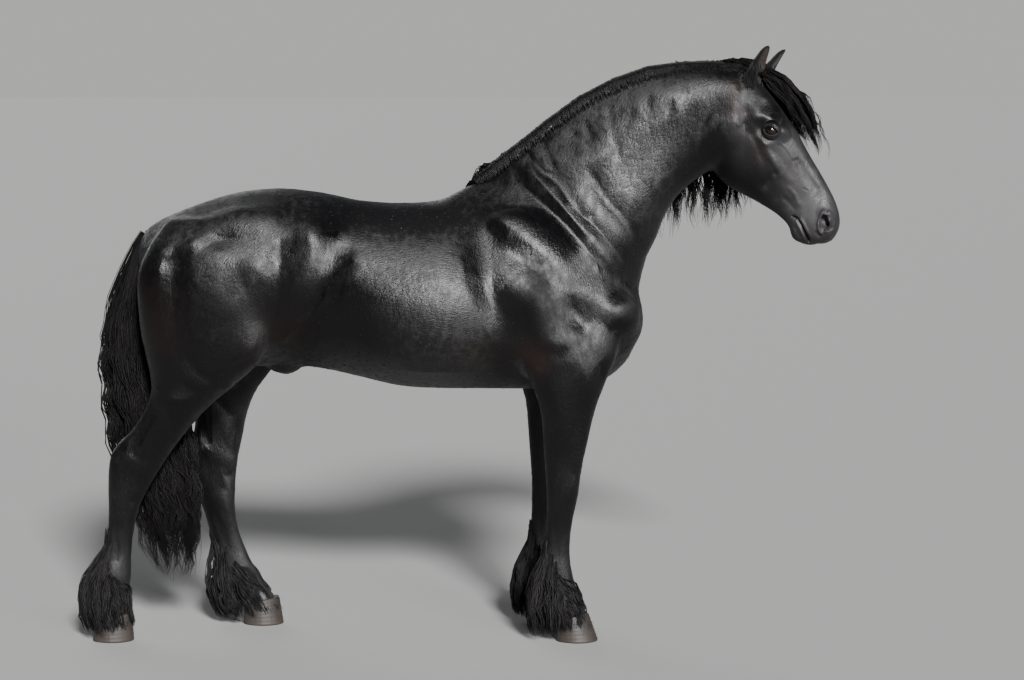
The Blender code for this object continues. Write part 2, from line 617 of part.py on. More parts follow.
def flesh():
    """The whole animal without eyes, ears, hooves and hair, in few faces."""
    obj = grown_together("flesh", masses())
    face = even_out(obj.data)
    raise_relief(obj.data)
    group = obj.vertex_groups.new(name="coarse")
    for index, on_face in enumerate(face):
        group.add([index], 0.15 if on_face else 1.0, "REPLACE")
    fewer = obj.modifiers.new("fewer", "DECIMATE")
    fewer.vertex_group = "coarse"
    fewer.vertex_group_factor = 0.012
    fewer.ratio = FLESH_TRIANGLES / (2 * len(obj.data.polygons))
    fewer.use_collapse_triangulate = True
    settle(obj)
    obj.vertex_groups.clear()
    return obj


def block(name, middle, size, pitch=0, extra=0.0):
    """A cutting block. `extra` moves each of its faces out."""
    bpy.ops.mesh.primitive_cube_add(size=1, location=middle)
    obj = bpy.context.object
    obj.name = name
    obj.scale = [s + 2 * extra for s in size]
    obj.rotation_euler = (0, math.radians(pitch), 0)
    return obj


def as_cutter(obj):
    for home in list(obj.users_collection):
        home.objects.unlink(obj)
    CUTTERS.objects.link(obj)
    obj.hide_render = True
    obj.display_type = "WIRE"
    return obj


def cut(obj, cutter, operation="DIFFERENCE"):
    step = obj.modifiers.new(operation.lower(), "BOOLEAN")
    step.operation = operation
    step.object = cutter
    step.solver = "EXACT"


def biggest_body(obj):
    """Drops the crumbs that a cut leaves beside the body."""
    bm = bmesh.new()
    bm.from_mesh(obj.data)
    left, bodies = set(bm.verts), []
    while left:
        stack = [left.pop()]
        body = set(stack)
        while stack:
            for edge in stack.pop().link_edges:
                for vert in edge.verts:
                    if vert in left:
                        left.discard(vert)
                        body.add(vert)
                        stack.append(vert)
        bodies.append(body)
    keep = max(bodies, key=len)
    bmesh.ops.delete(bm, geom=[v for body in bodies if body is not keep for v in body])
    bm.to_mesh(obj.data)
    bm.free()
    return obj


def copy_of(obj, name):
    twin = bpy.data.objects.new(name, obj.data.copy())
    bpy.context.scene.collection.objects.link(twin)
    return twin


def grown(obj, by):
    """A cutter of the object's shape with its surface moved out."""
    twin = copy_of(obj, obj.name + "_room")
    put_points(twin.data, points_of(twin.data) + normals_of(twin.data) * by)
    return as_cutter(twin)


def material(name, colour, roughness, metallic=0.0):
    made = bpy.data.materials.get(name) or bpy.data.materials.new(name)
    made.use_nodes = True
    shader = made.node_tree.nodes["Principled BSDF"]
    shader.inputs["Base Color"].default_value = (*colour, 1)
    shader.inputs["Roughness"].default_value = roughness
    shader.inputs["Metallic"].default_value = metallic
    return made


def finish(obj, look):
    """Makes the object one of the model's parts."""
    for home in list(obj.users_collection):
        home.objects.unlink(obj)
    PARTS.objects.link(obj)
    obj.data.materials.clear()
    obj.data.materials.append(look)
    obj.data.shade_smooth()
    obj.data.set_sharp_from_angle(angle=math.radians(50))


def leg_block(name, place, side, low, high, extra=0.0):
    """A block around one leg between two heights. `place` is its rear and front x."""
    rear, front = place
    middle = ((rear + front) / 2, side * (LEG_INSIDE + LEG_OUTSIDE) / 2, (low + high) / 2)
    return block(name, middle, (front - rear, LEG_OUTSIDE - LEG_INSIDE, high - low), 0, extra)


def part_the_flesh(whole, look):
    """Head, neck, trunk and each leg in an upper and a lower part."""
    legs = {}
    for side, word in ((-1, "right"), (1, "left")):
        legs[f"{word}_forearm"] = (FORE_SPAN, side, KNEE, ELBOW)
        legs[f"{word}_fore_cannon"] = (FORE_SPAN, side, UNDER_SOLE, KNEE)
        legs[f"{word}_thigh"] = (HIND_SPAN, side, HOCK, STIFLE)
        legs[f"{word}_hind_cannon"] = (HIND_SPAN, side, UNDER_SOLE, HOCK)
    above = {"fore_cannon": "forearm", "hind_cannon": "thigh"}
    trunk, neck, head = (copy_of(whole, name) for name in ("trunk", "neck", "head"))
    cut(head, as_cutter(block("head_block", *HEAD_BLOCK)), "INTERSECT")
    cut(neck, as_cutter(block("neck_block", *NECK_BLOCK)), "INTERSECT")
    cut(neck, as_cutter(block("head_room", *HEAD_BLOCK, GAP)))
    cut(trunk, as_cutter(block("neck_room", *NECK_BLOCK, GAP)))
    cut(trunk, as_cutter(block("head_room_too", *HEAD_BLOCK, GAP)))
    for name, (place, side, low, high) in legs.items():
        limb = copy_of(whole, name)
        cut(limb, as_cutter(leg_block(name + "_block", place, side, low, high)), "INTERSECT")
        word, kind = name.split("_", 1)
        if kind in above:
            upper = legs[f"{word}_{above[kind]}"]
            cut(limb, as_cutter(leg_block(name + "_upper_room", *upper, GAP)))
            finish(biggest_body(settle(limb)), look)
            continue
        finish(biggest_body(settle(limb)), look)
        cut(trunk, as_cutter(leg_block(name + "_room", place, side, UNDER_SOLE, high, GAP)))
    for side, word in ((-1, "right"), (1, "left")):
        cut(head, as_cutter(eye_ball(word + "_eye_room", side, GAP)))
    for obj in (trunk, neck, head):
        finish(biggest_body(settle(obj)), look)


def eye_ball(name, side, extra=0.0):
    down, out, across = EYE_PLACE
    place = on_head(down, out, across * side)
    bpy.ops.mesh.primitive_uv_sphere_add(
        segments=12, ring_count=8, radius=EYE_RADIUS + extra, location=place
    )
    obj = bpy.context.object
    obj.name = name
    obj.rotation_euler = (math.radians(90), 0, HEAD_TURN)
    return settle(obj)


def oval(rear, front, middle, half, count):
    """A level ring of x and y from its rear and front x, its sideways middle and half-width."""
    turns = [2 * math.pi * k / count for k in range(count)]
    return [
        ((front + rear) / 2 + (front - rear) / 2 * math.cos(turn), middle + half * math.sin(turn))
        for turn in turns
    ]


def hoof(name, sole, length, width, coronet, shift):
    """A hoof with a flat sole, its front wall sloping up to the coronet."""
    x, y = sole[0] + shift, sole[1]
    front, rear = coronet[0] + HOOF_FRONT_RIM + shift, coronet[2] - HOOF_REAR_RIM + shift
    rings = []
    for share, bevel in ((0.0, SOLE_BEVEL), (0.06, 0.0), (1.0, 0.0)):
        middle = x * (1 - share) + (front + rear) / 2 * share
        half = length / 2 * (1 - share) + (front - rear) / 2 * share - bevel
        across = width / 2 * (1 - share) + (coronet[5] + HOOF_SIDE_RIM) * share - bevel
        ring = []
        for px, py in oval(middle - half, middle + half, 0.0, across, 16):
            forward = (px - middle) / half
            heel = 1 - HEEL_NARROWING * max(0.0, -forward)
            ring.append((px, y + py * heel, HOOF_HEIGHT * share + CORONET_TILT * share * forward))
        rings.append(ring)
    return through(name, rings)


def sleeve(name, rows, step):
    """Hair around a leg or the dock: height, rear x, front x, sideways middle, half-width."""
    return through(name, [
        [(x, y, z) for x, y in oval(rear, front, middle, half, 12)]
        for z, rear, front, middle, half in along(rows, step, [0, 1])
    ])


def mane_hair():
    """Hair over the crest that hangs down the left side of the neck."""
    return through("mane", [
        [(x, y + y_share * out, z - dz - z_share * drop) for y, y_share, dz, z_share in MANE_SECTION]
        for x, z, drop, out in along(MANE, 0.085, [0, 1])
    ])


def forelock_hair():
    rings = []
    for down, out, side, half, thick in along(FORELOCK, 0.08, [0, 1]):
        rings.append([
            on_head(down, out + y - FORELOCK_SAG * (x - side) ** 2 / half, x)
            for x, y in oval(side - half, side + half, 0.0, thick, 10)
        ])
    return through("forelock", rings)


def ear(name, side):
    """A cupped ear, pricked forward, with its opening to the front and a little outward."""
    root, tip = (on_head(down, out, across * side) for down, out, across in (EAR_ROOTS[side], EAR_TIPS[side]))
    length = tip - root
    up = length.normalized()
    outward = on_head(0, 0, side) - on_head(0, 0, 0)
    opening = outward.cross(up).normalized() * side + outward * EAR_OUTWARD
    opening = (opening - up * opening.dot(up)).normalized()
    across = up.cross(opening)
    rings = []
    for share, radius, half_angle in along(EAR, 0.15, [0]):
        middle = root + length * share - opening * EAR_BOW * math.sin(math.pi * share)
        arc = [math.radians(half_angle) * a for a in (-1, -0.6, -0.2, 0.2, 0.6, 1)]
        rings.append([
            middle + across * (reach * math.sin(angle)) - opening * (reach * math.cos(angle) * 0.9)
            for reach, angles in ((radius, arc), (radius * EAR_CUP, arc[::-1]))
            for angle in angles
        ])
    return through(name, rings)


for stale in list(bpy.data.objects):
    bpy.data.objects.remove(stale)
PARTS = bpy.data.collections.new("horse")
CUTTERS = bpy.data.collections.new("cutters")
for group in (PARTS, CUTTERS):
    bpy.context.scene.collection.children.link(group)

BLACK_COAT = material("black_coat", (0.012, 0.011, 0.012), 0.38)
BLACK_HAIR = material("black_hair", (0.010, 0.009, 0.010), 0.48)
EAR_SKIN = material("ear_skin", (0.020, 0.016, 0.015), 0.55)
HORN = material("hoof_horn", (0.085, 0.062, 0.048), 0.62)
EYE = material("dark_eye", (0.012, 0.007, 0.005), 0.06)

body = flesh()
part_the_flesh(body, BLACK_COAT)
for side, word in ((-1, "right"), (1, "left")):
    finish(eye_ball(word + "_eye", side), EYE)

flesh_room = grown(body, ROOM)
bpy.data.objects.remove(body)


def on_flesh(obj, look, *rooms, by=ROOM):
    """Fits a piece on the flesh and on the pieces whose rooms are given. Returns its own room."""
    room = grown(obj, by)
    for taken in (flesh_room, *rooms):
        cut(obj, taken)
    finish(biggest_body(settle(obj)), look)
    return room


hoof_rooms = {}
for name, sizes in HOOVES.items():
    hoof_rooms[name] = on_flesh(hoof(name + "_hoof", *sizes), HORN)
for name, (rows, middle, shift) in FEATHERS.items():
    rows = [(z, rear + shift, front + shift, middle, half) for z, rear, front, half in rows]
    on_flesh(sleeve(name + "_feather", rows, 0.08), BLACK_HAIR, hoof_rooms[name])

ear_rooms = [
    on_flesh(ear(word + "_ear", side), EAR_SKIN, by=EAR_ROOM) for side, word in ((-1, "right"), (1, "left"))
]
mane_room = on_flesh(mane_hair(), BLACK_HAIR, *ear_rooms)
on_flesh(forelock_hair(), BLACK_HAIR, *ear_rooms, mane_room)
on_flesh(sleeve("tail", TAIL, 0.11), BLACK_HAIR)

for obj in PARTS.objects:
    obj.location = MID
for obj in CUTTERS.objects:
    obj.location = MID
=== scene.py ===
import json
import math

import bmesh
import bpy
import numpy as np
from mathutils import Matrix, Vector
from mathutils.bvhtree import BVHTree

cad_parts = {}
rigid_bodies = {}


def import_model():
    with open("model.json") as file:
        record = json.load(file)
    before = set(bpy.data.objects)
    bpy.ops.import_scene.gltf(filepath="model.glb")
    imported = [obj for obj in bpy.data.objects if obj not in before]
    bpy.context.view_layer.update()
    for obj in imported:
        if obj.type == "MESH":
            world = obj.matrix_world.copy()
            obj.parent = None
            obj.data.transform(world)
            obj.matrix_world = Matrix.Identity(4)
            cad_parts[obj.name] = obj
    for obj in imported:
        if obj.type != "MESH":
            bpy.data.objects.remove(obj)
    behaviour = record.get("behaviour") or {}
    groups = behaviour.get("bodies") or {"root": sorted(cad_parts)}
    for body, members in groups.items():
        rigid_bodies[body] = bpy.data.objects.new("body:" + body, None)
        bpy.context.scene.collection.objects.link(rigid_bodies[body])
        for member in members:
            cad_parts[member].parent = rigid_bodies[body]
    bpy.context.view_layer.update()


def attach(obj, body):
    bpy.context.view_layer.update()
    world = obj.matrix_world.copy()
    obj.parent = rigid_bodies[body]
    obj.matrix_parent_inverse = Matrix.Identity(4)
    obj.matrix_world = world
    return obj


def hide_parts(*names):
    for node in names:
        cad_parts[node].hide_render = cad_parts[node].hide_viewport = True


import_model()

# --- The skin ---------------------------------------------------------------------------------
# One hide over the whole animal: trunk, neck, head with its lids, nostrils and lips, and the
# four legs down to the coronets. It is made as one surface from the same masses as the solids,
# folded and veined, and lies the coat's depth inside them. It takes the place of the flesh.
EVENING, TRUNK_EVENING = 30, 80  # passes that smooth the joins of the masses, and more on the trunk
FACE_EVENS, LEGS_EVEN = 0.25, 0.35  # how much of that the face and the legs take, for 1 elsewhere
GRAIN = 0.011  # the size of the cells in which the lofted masses grow together
MID = Vector((-0.006, 0.0, 0.0))  # from the measured frame to the middle of his length

HEAD_TURN = math.radians(-16)  # the nose is carried a little towards his right
POLL = Vector((1.0, 0.0, 1.975))
DOWN_THE_FACE = Vector((0.501, 0.0, -0.865))
OUT_OF_THE_FACE = Vector((0.865, 0.0, 0.501))

STEP_BACK = -0.05  # how far the left fore leg stands behind the right one

# A section is a closed curve through its top, its bottom and five points on each side, at these
# shares of the way down.
LEVELS = (0.04, 0.22, 0.50, 0.78, 0.96)

# Trunk: place along the body, height of the back and of the belly, half-widths at the levels.
TRUNK = [
    (-1.105, 1.365, 1.28, 0.015, 0.03, 0.035, 0.03, 0.015),
    (-1.075, 1.42, 1.17, 0.045, 0.095, 0.12, 0.10, 0.04),
    (-1.00, 1.470, 1.05, 0.070, 0.165, 0.200, 0.17, 0.07),
    (-0.89, 1.516, 0.97, 0.090, 0.205, 0.250, 0.21, 0.08),
    (-0.75, 1.555, 0.94, 0.105, 0.230, 0.275, 0.24, 0.09),
    (-0.61, 1.567, 0.945, 0.115, 0.240, 0.282, 0.235, 0.10),
    (-0.47, 1.553, 0.935, 0.120, 0.240, 0.285, 0.245, 0.11),
    (-0.33, 1.525, 0.905, 0.115, 0.240, 0.300, 0.265, 0.12),
    (-0.19, 1.515, 0.873, 0.110, 0.240, 0.310, 0.275, 0.125),
    (-0.05, 1.527, 0.864, 0.090, 0.228, 0.307, 0.270, 0.12),
    (0.08, 1.585, 0.863, 0.048, 0.185, 0.288, 0.255, 0.115),
    (0.20, 1.59, 0.862, 0.055, 0.180, 0.268, 0.235, 0.11),
    (0.32, 1.56, 0.862, 0.070, 0.178, 0.252, 0.225, 0.11),
    (0.44, 1.50, 0.870, 0.070, 0.175, 0.232, 0.205, 0.10),
    (0.54, 1.42, 0.905, 0.060, 0.150, 0.205, 0.180, 0.09),
    (0.605, 1.34, 0.965, 0.045, 0.110, 0.150, 0.130, 0.06),
    (0.638, 1.24, 1.04, 0.020, 0.055, 0.075, 0.065, 0.03),
]

# Neck: crest x and z, throat x and z, sideways shift, half-widths at the levels.
NECK = [
    (0.03, 1.52, 0.57, 1.00, 0, 0.05, 0.14, 0.20, 0.19, 0.08),
    (0.12, 1.59, 0.640, 1.12, 0, 0.045, 0.135, 0.195, 0.185, 0.08),
    (0.21, 1.680, 0.648, 1.215, 0, 0.035, 0.11, 0.170, 0.165, 0.075),
    (0.33, 1.775, 0.668, 1.315, 0, 0.030, 0.085, 0.140, 0.140, 0.065),
    (0.45, 1.865, 0.702, 1.385, 0, 0.028, 0.074, 0.120, 0.122, 0.058),
    (0.57, 1.930, 0.735, 1.47, 0, 0.028, 0.070, 0.106, 0.108, 0.052),
    (0.69, 1.970, 0.785, 1.545, 0, 0.030, 0.070, 0.096, 0.098, 0.048),
    (0.80, 1.985, 0.840, 1.592, -0.005, 0.032, 0.070, 0.090, 0.092, 0.045),
    (0.90, 1.988, 0.905, 1.635, -0.012, 0.035, 0.070, 0.088, 0.088, 0.042),
    (0.98, 1.975, 0.985, 1.68, -0.03, 0.035, 0.068, 0.080, 0.075, 0.036),
]

# Head: front line (down the face, out of it), rear line of jaw and chin, half-widths.
HEAD = [
    (-0.045, -0.03, -0.02, -0.12, 0.02, 0.045, 0.055, 0.045, 0.02),
    (-0.015, 0.005, 0.0, -0.145, 0.035, 0.068, 0.078, 0.068, 0.035),
    (0.04, 0.029, 0.05, -0.18, 0.045, 0.080, 0.088, 0.080, 0.040),
    (0.10, 0.046, 0.11, -0.222, 0.052, 0.088, 0.092, 0.086, 0.042),
    (0.17, 0.056, 0.19, -0.255, 0.056, 0.093, 0.093, 0.087, 0.045),
    (0.235, 0.062, 0.265, -0.261, 0.052, 0.090, 0.091, 0.084, 0.044),
    (0.30, 0.062, 0.33, -0.243, 0.044, 0.078, 0.084, 0.074, 0.038),
    (0.37, 0.061, 0.39, -0.205, 0.036, 0.064, 0.073, 0.060, 0.032),
    (0.44, 0.063, 0.45, -0.168, 0.030, 0.051, 0.060, 0.049, 0.027),
    (0.50, 0.0635, 0.50, -0.142, 0.027, 0.045, 0.052, 0.045, 0.025),
    (0.55, 0.061, 0.545, -0.128, 0.027, 0.048, 0.052, 0.044, 0.025),
    (0.60, 0.051, 0.59, -0.132, 0.029, 0.052, 0.054, 0.044, 0.026),
    (0.635, 0.035, 0.622, -0.121, 0.027, 0.047, 0.049, 0.039, 0.022),
    (0.66, 0.008, 0.645, -0.100, 0.019, 0.035, 0.037, 0.029, 0.015),
    (0.675, -0.025, 0.66, -0.070, 0.006, 0.012, 0.014, 0.012, 0.006),
]

# Legs on the right: front x and z, rear x and z, sideways place, half-width.
FORE_LEG = [
    (0.50, 1.16, 0.20, 1.18, -0.150, 0.075),
    (0.565, 1.07, 0.205, 1.08, -0.165, 0.088),
    (0.560, 0.99, 0.225, 0.99, -0.180, 0.088),
    (0.530, 0.92, 0.255, 0.92, -0.185, 0.080),
    (0.507, 0.86, 0.280, 0.86, -0.183, 0.072),
    (0.487, 0.80, 0.297, 0.80, -0.180, 0.064),
    (0.466, 0.71, 0.305, 0.71, -0.174, 0.055),
    (0.449, 0.63, 0.311, 0.63, -0.170, 0.049),
    (0.439, 0.575, 0.315, 0.575, -0.168, 0.048),
    (0.434, 0.53, 0.318, 0.53, -0.167, 0.049),
    (0.424, 0.475, 0.318, 0.475, -0.166, 0.042),
    (0.412, 0.42, 0.318, 0.42, -0.165, 0.035),
    (0.404, 0.35, 0.314, 0.35, -0.165, 0.031),
    (0.404, 0.285, 0.309, 0.28, -0.165, 0.033),
    (0.414, 0.225, 0.300, 0.215, -0.165, 0.041),
    (0.432, 0.165, 0.318, 0.140, -0.165, 0.038),
    (0.450, 0.115, 0.345, 0.085, -0.165, 0.044),
    (0.456, 0.085, 0.352, 0.060, -0.165, 0.046),
]
HIND_LEG = [
    (-0.62, 1.47, -0.98, 1.47, -0.11, 0.08),
    (-0.57, 1.36, -1.05, 1.37, -0.150, 0.110),
    (-0.57, 1.25, -1.085, 1.27, -0.163, 0.123),
    (-0.595, 1.14, -1.085, 1.17, -0.170, 0.128),
    (-0.625, 1.04, -1.075, 1.08, -0.173, 0.126),
    (-0.675, 0.965, -1.062, 1.00, -0.175, 0.118),
    (-0.75, 0.895, -1.047, 0.925, -0.175, 0.103),
    (-0.835, 0.825, -1.048, 0.855, -0.172, 0.085),
    (-0.905, 0.75, -1.078, 0.79, -0.168, 0.070),
    (-0.965, 0.675, -1.115, 0.735, -0.162, 0.058),
    (-1.015, 0.60, -1.162, 0.69, -0.156, 0.050),
    (-1.055, 0.535, -1.192, 0.64, -0.152, 0.048),
    (-1.082, 0.485, -1.200, 0.555, -0.150, 0.047),
    (-1.096, 0.445, -1.200, 0.47, -0.150, 0.042),
    (-1.110, 0.38, -1.203, 0.385, -0.152, 0.035),
    (-1.118, 0.30, -1.212, 0.30, -0.155, 0.034),
    (-1.120, 0.225, -1.235, 0.215, -0.158, 0.043),
    (-1.128, 0.165, -1.240, 0.140, -0.160, 0.040),
    (-1.130, 0.115, -1.246, 0.085, -0.161, 0.045),
    (-1.130, 0.085, -1.250, 0.060, -0.162, 0.047),
]
# The left hind leg is carried forward, under the body. It is as wide and as far out as the right one.
HIND_LEG_FORWARD = [
    (-0.60, 1.47, -0.98, 1.47), (-0.55, 1.36, -1.04, 1.37), (-0.54, 1.25, -1.06, 1.27),
    (-0.55, 1.14, -1.055, 1.17), (-0.575, 1.04, -1.03, 1.07), (-0.615, 0.965, -1.00, 0.985),
    (-0.665, 0.90, -0.96, 0.91), (-0.715, 0.83, -0.935, 0.84), (-0.745, 0.75, -0.93, 0.77),
    (-0.76, 0.67, -0.935, 0.70), (-0.775, 0.60, -0.950, 0.635), (-0.782, 0.54, -0.957, 0.575),
    (-0.786, 0.48, -0.942, 0.50), (-0.787, 0.42, -0.908, 0.425), (-0.777, 0.35, -0.885, 0.345),
    (-0.752, 0.275, -0.860, 0.26), (-0.720, 0.205, -0.840, 0.175), (-0.690, 0.15, -0.800, 0.105),
    (-0.655, 0.105, -0.770, 0.075), (-0.642, 0.080, -0.760, 0.055),
]
HIND_LEG_FORWARD = [(*line, -y, w) for line, (*_, y, w) in zip(HIND_LEG_FORWARD, HIND_LEG)]

# Masses that stand out of the lofts: middle, radii, pitch in degrees. All but the sheath are
# made on both sides.
MASSES = [
    ((0.31, 0.150, 1.28), (0.27, 0.085, 0.16), 48),
    ((0.285, 0.185, 1.08), (0.13, 0.080, 0.13), 20),
    ((0.535, 0.135, 1.13), (0.095, 0.090, 0.10), 0),
    ((0.500, 0.080, 1.04), (0.100, 0.090, 0.12), 0),
    ((-0.70, 0.115, 1.40), (0.27, 0.130, 0.12), -8),
]
SHEATH = ((-0.605, 0.0, 0.955), (0.068, 0.05, 0.042), 12)

# Joins that are evened out once more, where the jaw meets the neck and at the temple.
SOFT_JOINS = [((0.965, -0.10, 1.755), 0.075), ((1.00, -0.08, 1.84), 0.06)]
JOIN_EVENING = 60

# Relief on the body's right side, repeated on the left: a mound (or a hollow, with a negative
# height) along a line of points, how far it reaches across, its height.
RELIEF = [
    ([(0.12, -0.14, 1.56), (0.36, -0.20, 1.40), (0.50, -0.21, 1.25)], 0.085, -0.006),
    ([(0.09, -0.22, 1.46), (0.12, -0.28, 1.25), (0.19, -0.29, 1.10), (0.26, -0.27, 0.97)], 0.085, -0.016),
    ([(0.18, -0.25, 1.28), (0.33, -0.27, 1.12), (0.37, -0.27, 1.00)], 0.10, 0.013),
    ([(0.39, -0.25, 1.20), (0.46, -0.25, 1.08), (0.48, -0.26, 0.95)], 0.050, -0.010),
    ([(0.575, -0.16, 1.14)], 0.09, 0.008),
    ([(0.60, -0.07, 1.11)], 0.13, 0.024),
    ([(0.64, 0.0, 1.24), (0.62, 0.0, 1.10), (0.55, 0.0, 0.94)], 0.045, -0.016),
    ([(0.275, -0.25, 0.945)], 0.05, 0.012),
    ([(0.36, -0.25, 0.92), (0.38, -0.23, 0.66)], 0.060, 0.009),
    ([(0.465, -0.22, 0.96), (0.42, -0.21, 0.66)], 0.030, -0.006),
    ([(-0.475, -0.235, 1.425)], 0.10, 0.014),
    ([(-0.37, -0.26, 1.40), (-0.44, -0.28, 1.24), (-0.53, -0.27, 1.10), (-0.62, -0.24, 0.98)], 0.085, -0.018),
    ([(-0.67, -0.27, 1.10), (-0.71, -0.27, 0.93)], 0.10, 0.014),
    ([(-0.66, -0.27, 1.40), (-0.84, -0.29, 1.12)], 0.17, 0.014),
    ([(-0.94, -0.22, 1.42), (-0.95, -0.28, 1.22), (-0.93, -0.27, 0.98)], 0.060, -0.013),
    ([(-1.03, -0.20, 1.34), (-1.03, -0.22, 1.02)], 0.085, 0.008),
    ([(-0.84, -0.25, 0.97), (-0.97, -0.23, 0.78)], 0.075, 0.008),
    ([(-0.98, -0.20, 0.88), (-1.10, -0.18, 0.70)], 0.035, -0.012),
    ([(0.92, -0.10, 1.76), (0.80, -0.115, 1.62), (0.71, -0.125, 1.44), (0.61, -0.14, 1.26)], 0.050, -0.012),
    ([(0.84, -0.08, 1.92), (0.60, -0.10, 1.80), (0.38, -0.13, 1.60)], 0.12, 0.009),
    ([(-0.30, 0.0, 1.53), (-0.62, 0.0, 1.58), (-1.00, 0.0, 1.48)], 0.045, -0.010),
]
# The same on the head, by distance down the face, out of it and to the side.
HEAD_RELIEF = [
    ([(-0.01, 0.015, 0.042), (0.07, 0.015, 0.055)], 0.042, 0.013),
    ([(0.205, 0.022, 0.088), (0.250, 0.014, 0.088)], 0.030, 0.009),
    ([(0.235, -0.034, 0.090), (0.285, -0.030, 0.082)], 0.030, 0.004),
    ([(0.150, 0.028, 0.085)], 0.042, -0.005),
    ([(0.30, -0.048, 0.08), (0.44, -0.030, 0.06)], 0.024, 0.005),
    ([(0.20, -0.155, 0.088)], 0.12, 0.010),
    ([(0.36, 0.022, 0.062), (0.52, 0.030, 0.046)], 0.026, -0.006),
    ([(0.36, -0.11, 0.07), (0.47, -0.10, 0.05)], 0.045, -0.006),
    ([(0.565, 0.022, 0.050), (0.625, -0.010, 0.046)], 0.030, 0.010),
    ([(0.590, 0.010, 0.056), (0.618, -0.012, 0.052)], 0.016, -0.018),
    ([(0.520, -0.088, 0.05), (0.60, -0.086, 0.048), (0.655, -0.076, 0.03), (0.668, -0.070, 0.0)], 0.013, -0.009),
    ([(0.595, -0.120, 0.0)], 0.035, 0.006),
]

COAT_DEPTH = 0.002
HEAD_FROM = 0.9  # the head lies in front of this place along the body
SKIN_TRIANGLES = 196000
EYE_RADIUS = 0.0245
EYE_PLACE = (0.239, -0.001, 0.0735)  # down the face, out of it, to the side
SLIT = (0.241, -0.001, math.radians(45), 0.0232, 0.0140)  # middle, tilt, half-length, half-height
RIM_REACH = 0.0011  # points nearer the slit than this are drawn to its edge
DOME_REACH = 1.42  # of the lids over the eyeball, for 1 at its own radius
LID_GAP, LID_THICKNESS = 0.0008, 0.0034
LID_WIDTH, LID_BLEND, ORBIT_REACH = 0.007, 0.041, 0.050  # the lids, their way into the face, their reach
# Folds of the lids: height on the upper and on the lower lid, distance from the slit, half-width.
LID_FOLDS = [
    (0.0030, 0.0008, 0.0120, 0.0045),
    (-0.0020, 0.0, 0.0062, 0.0020),
    (0.0, -0.0010, 0.0080, 0.0016),
]

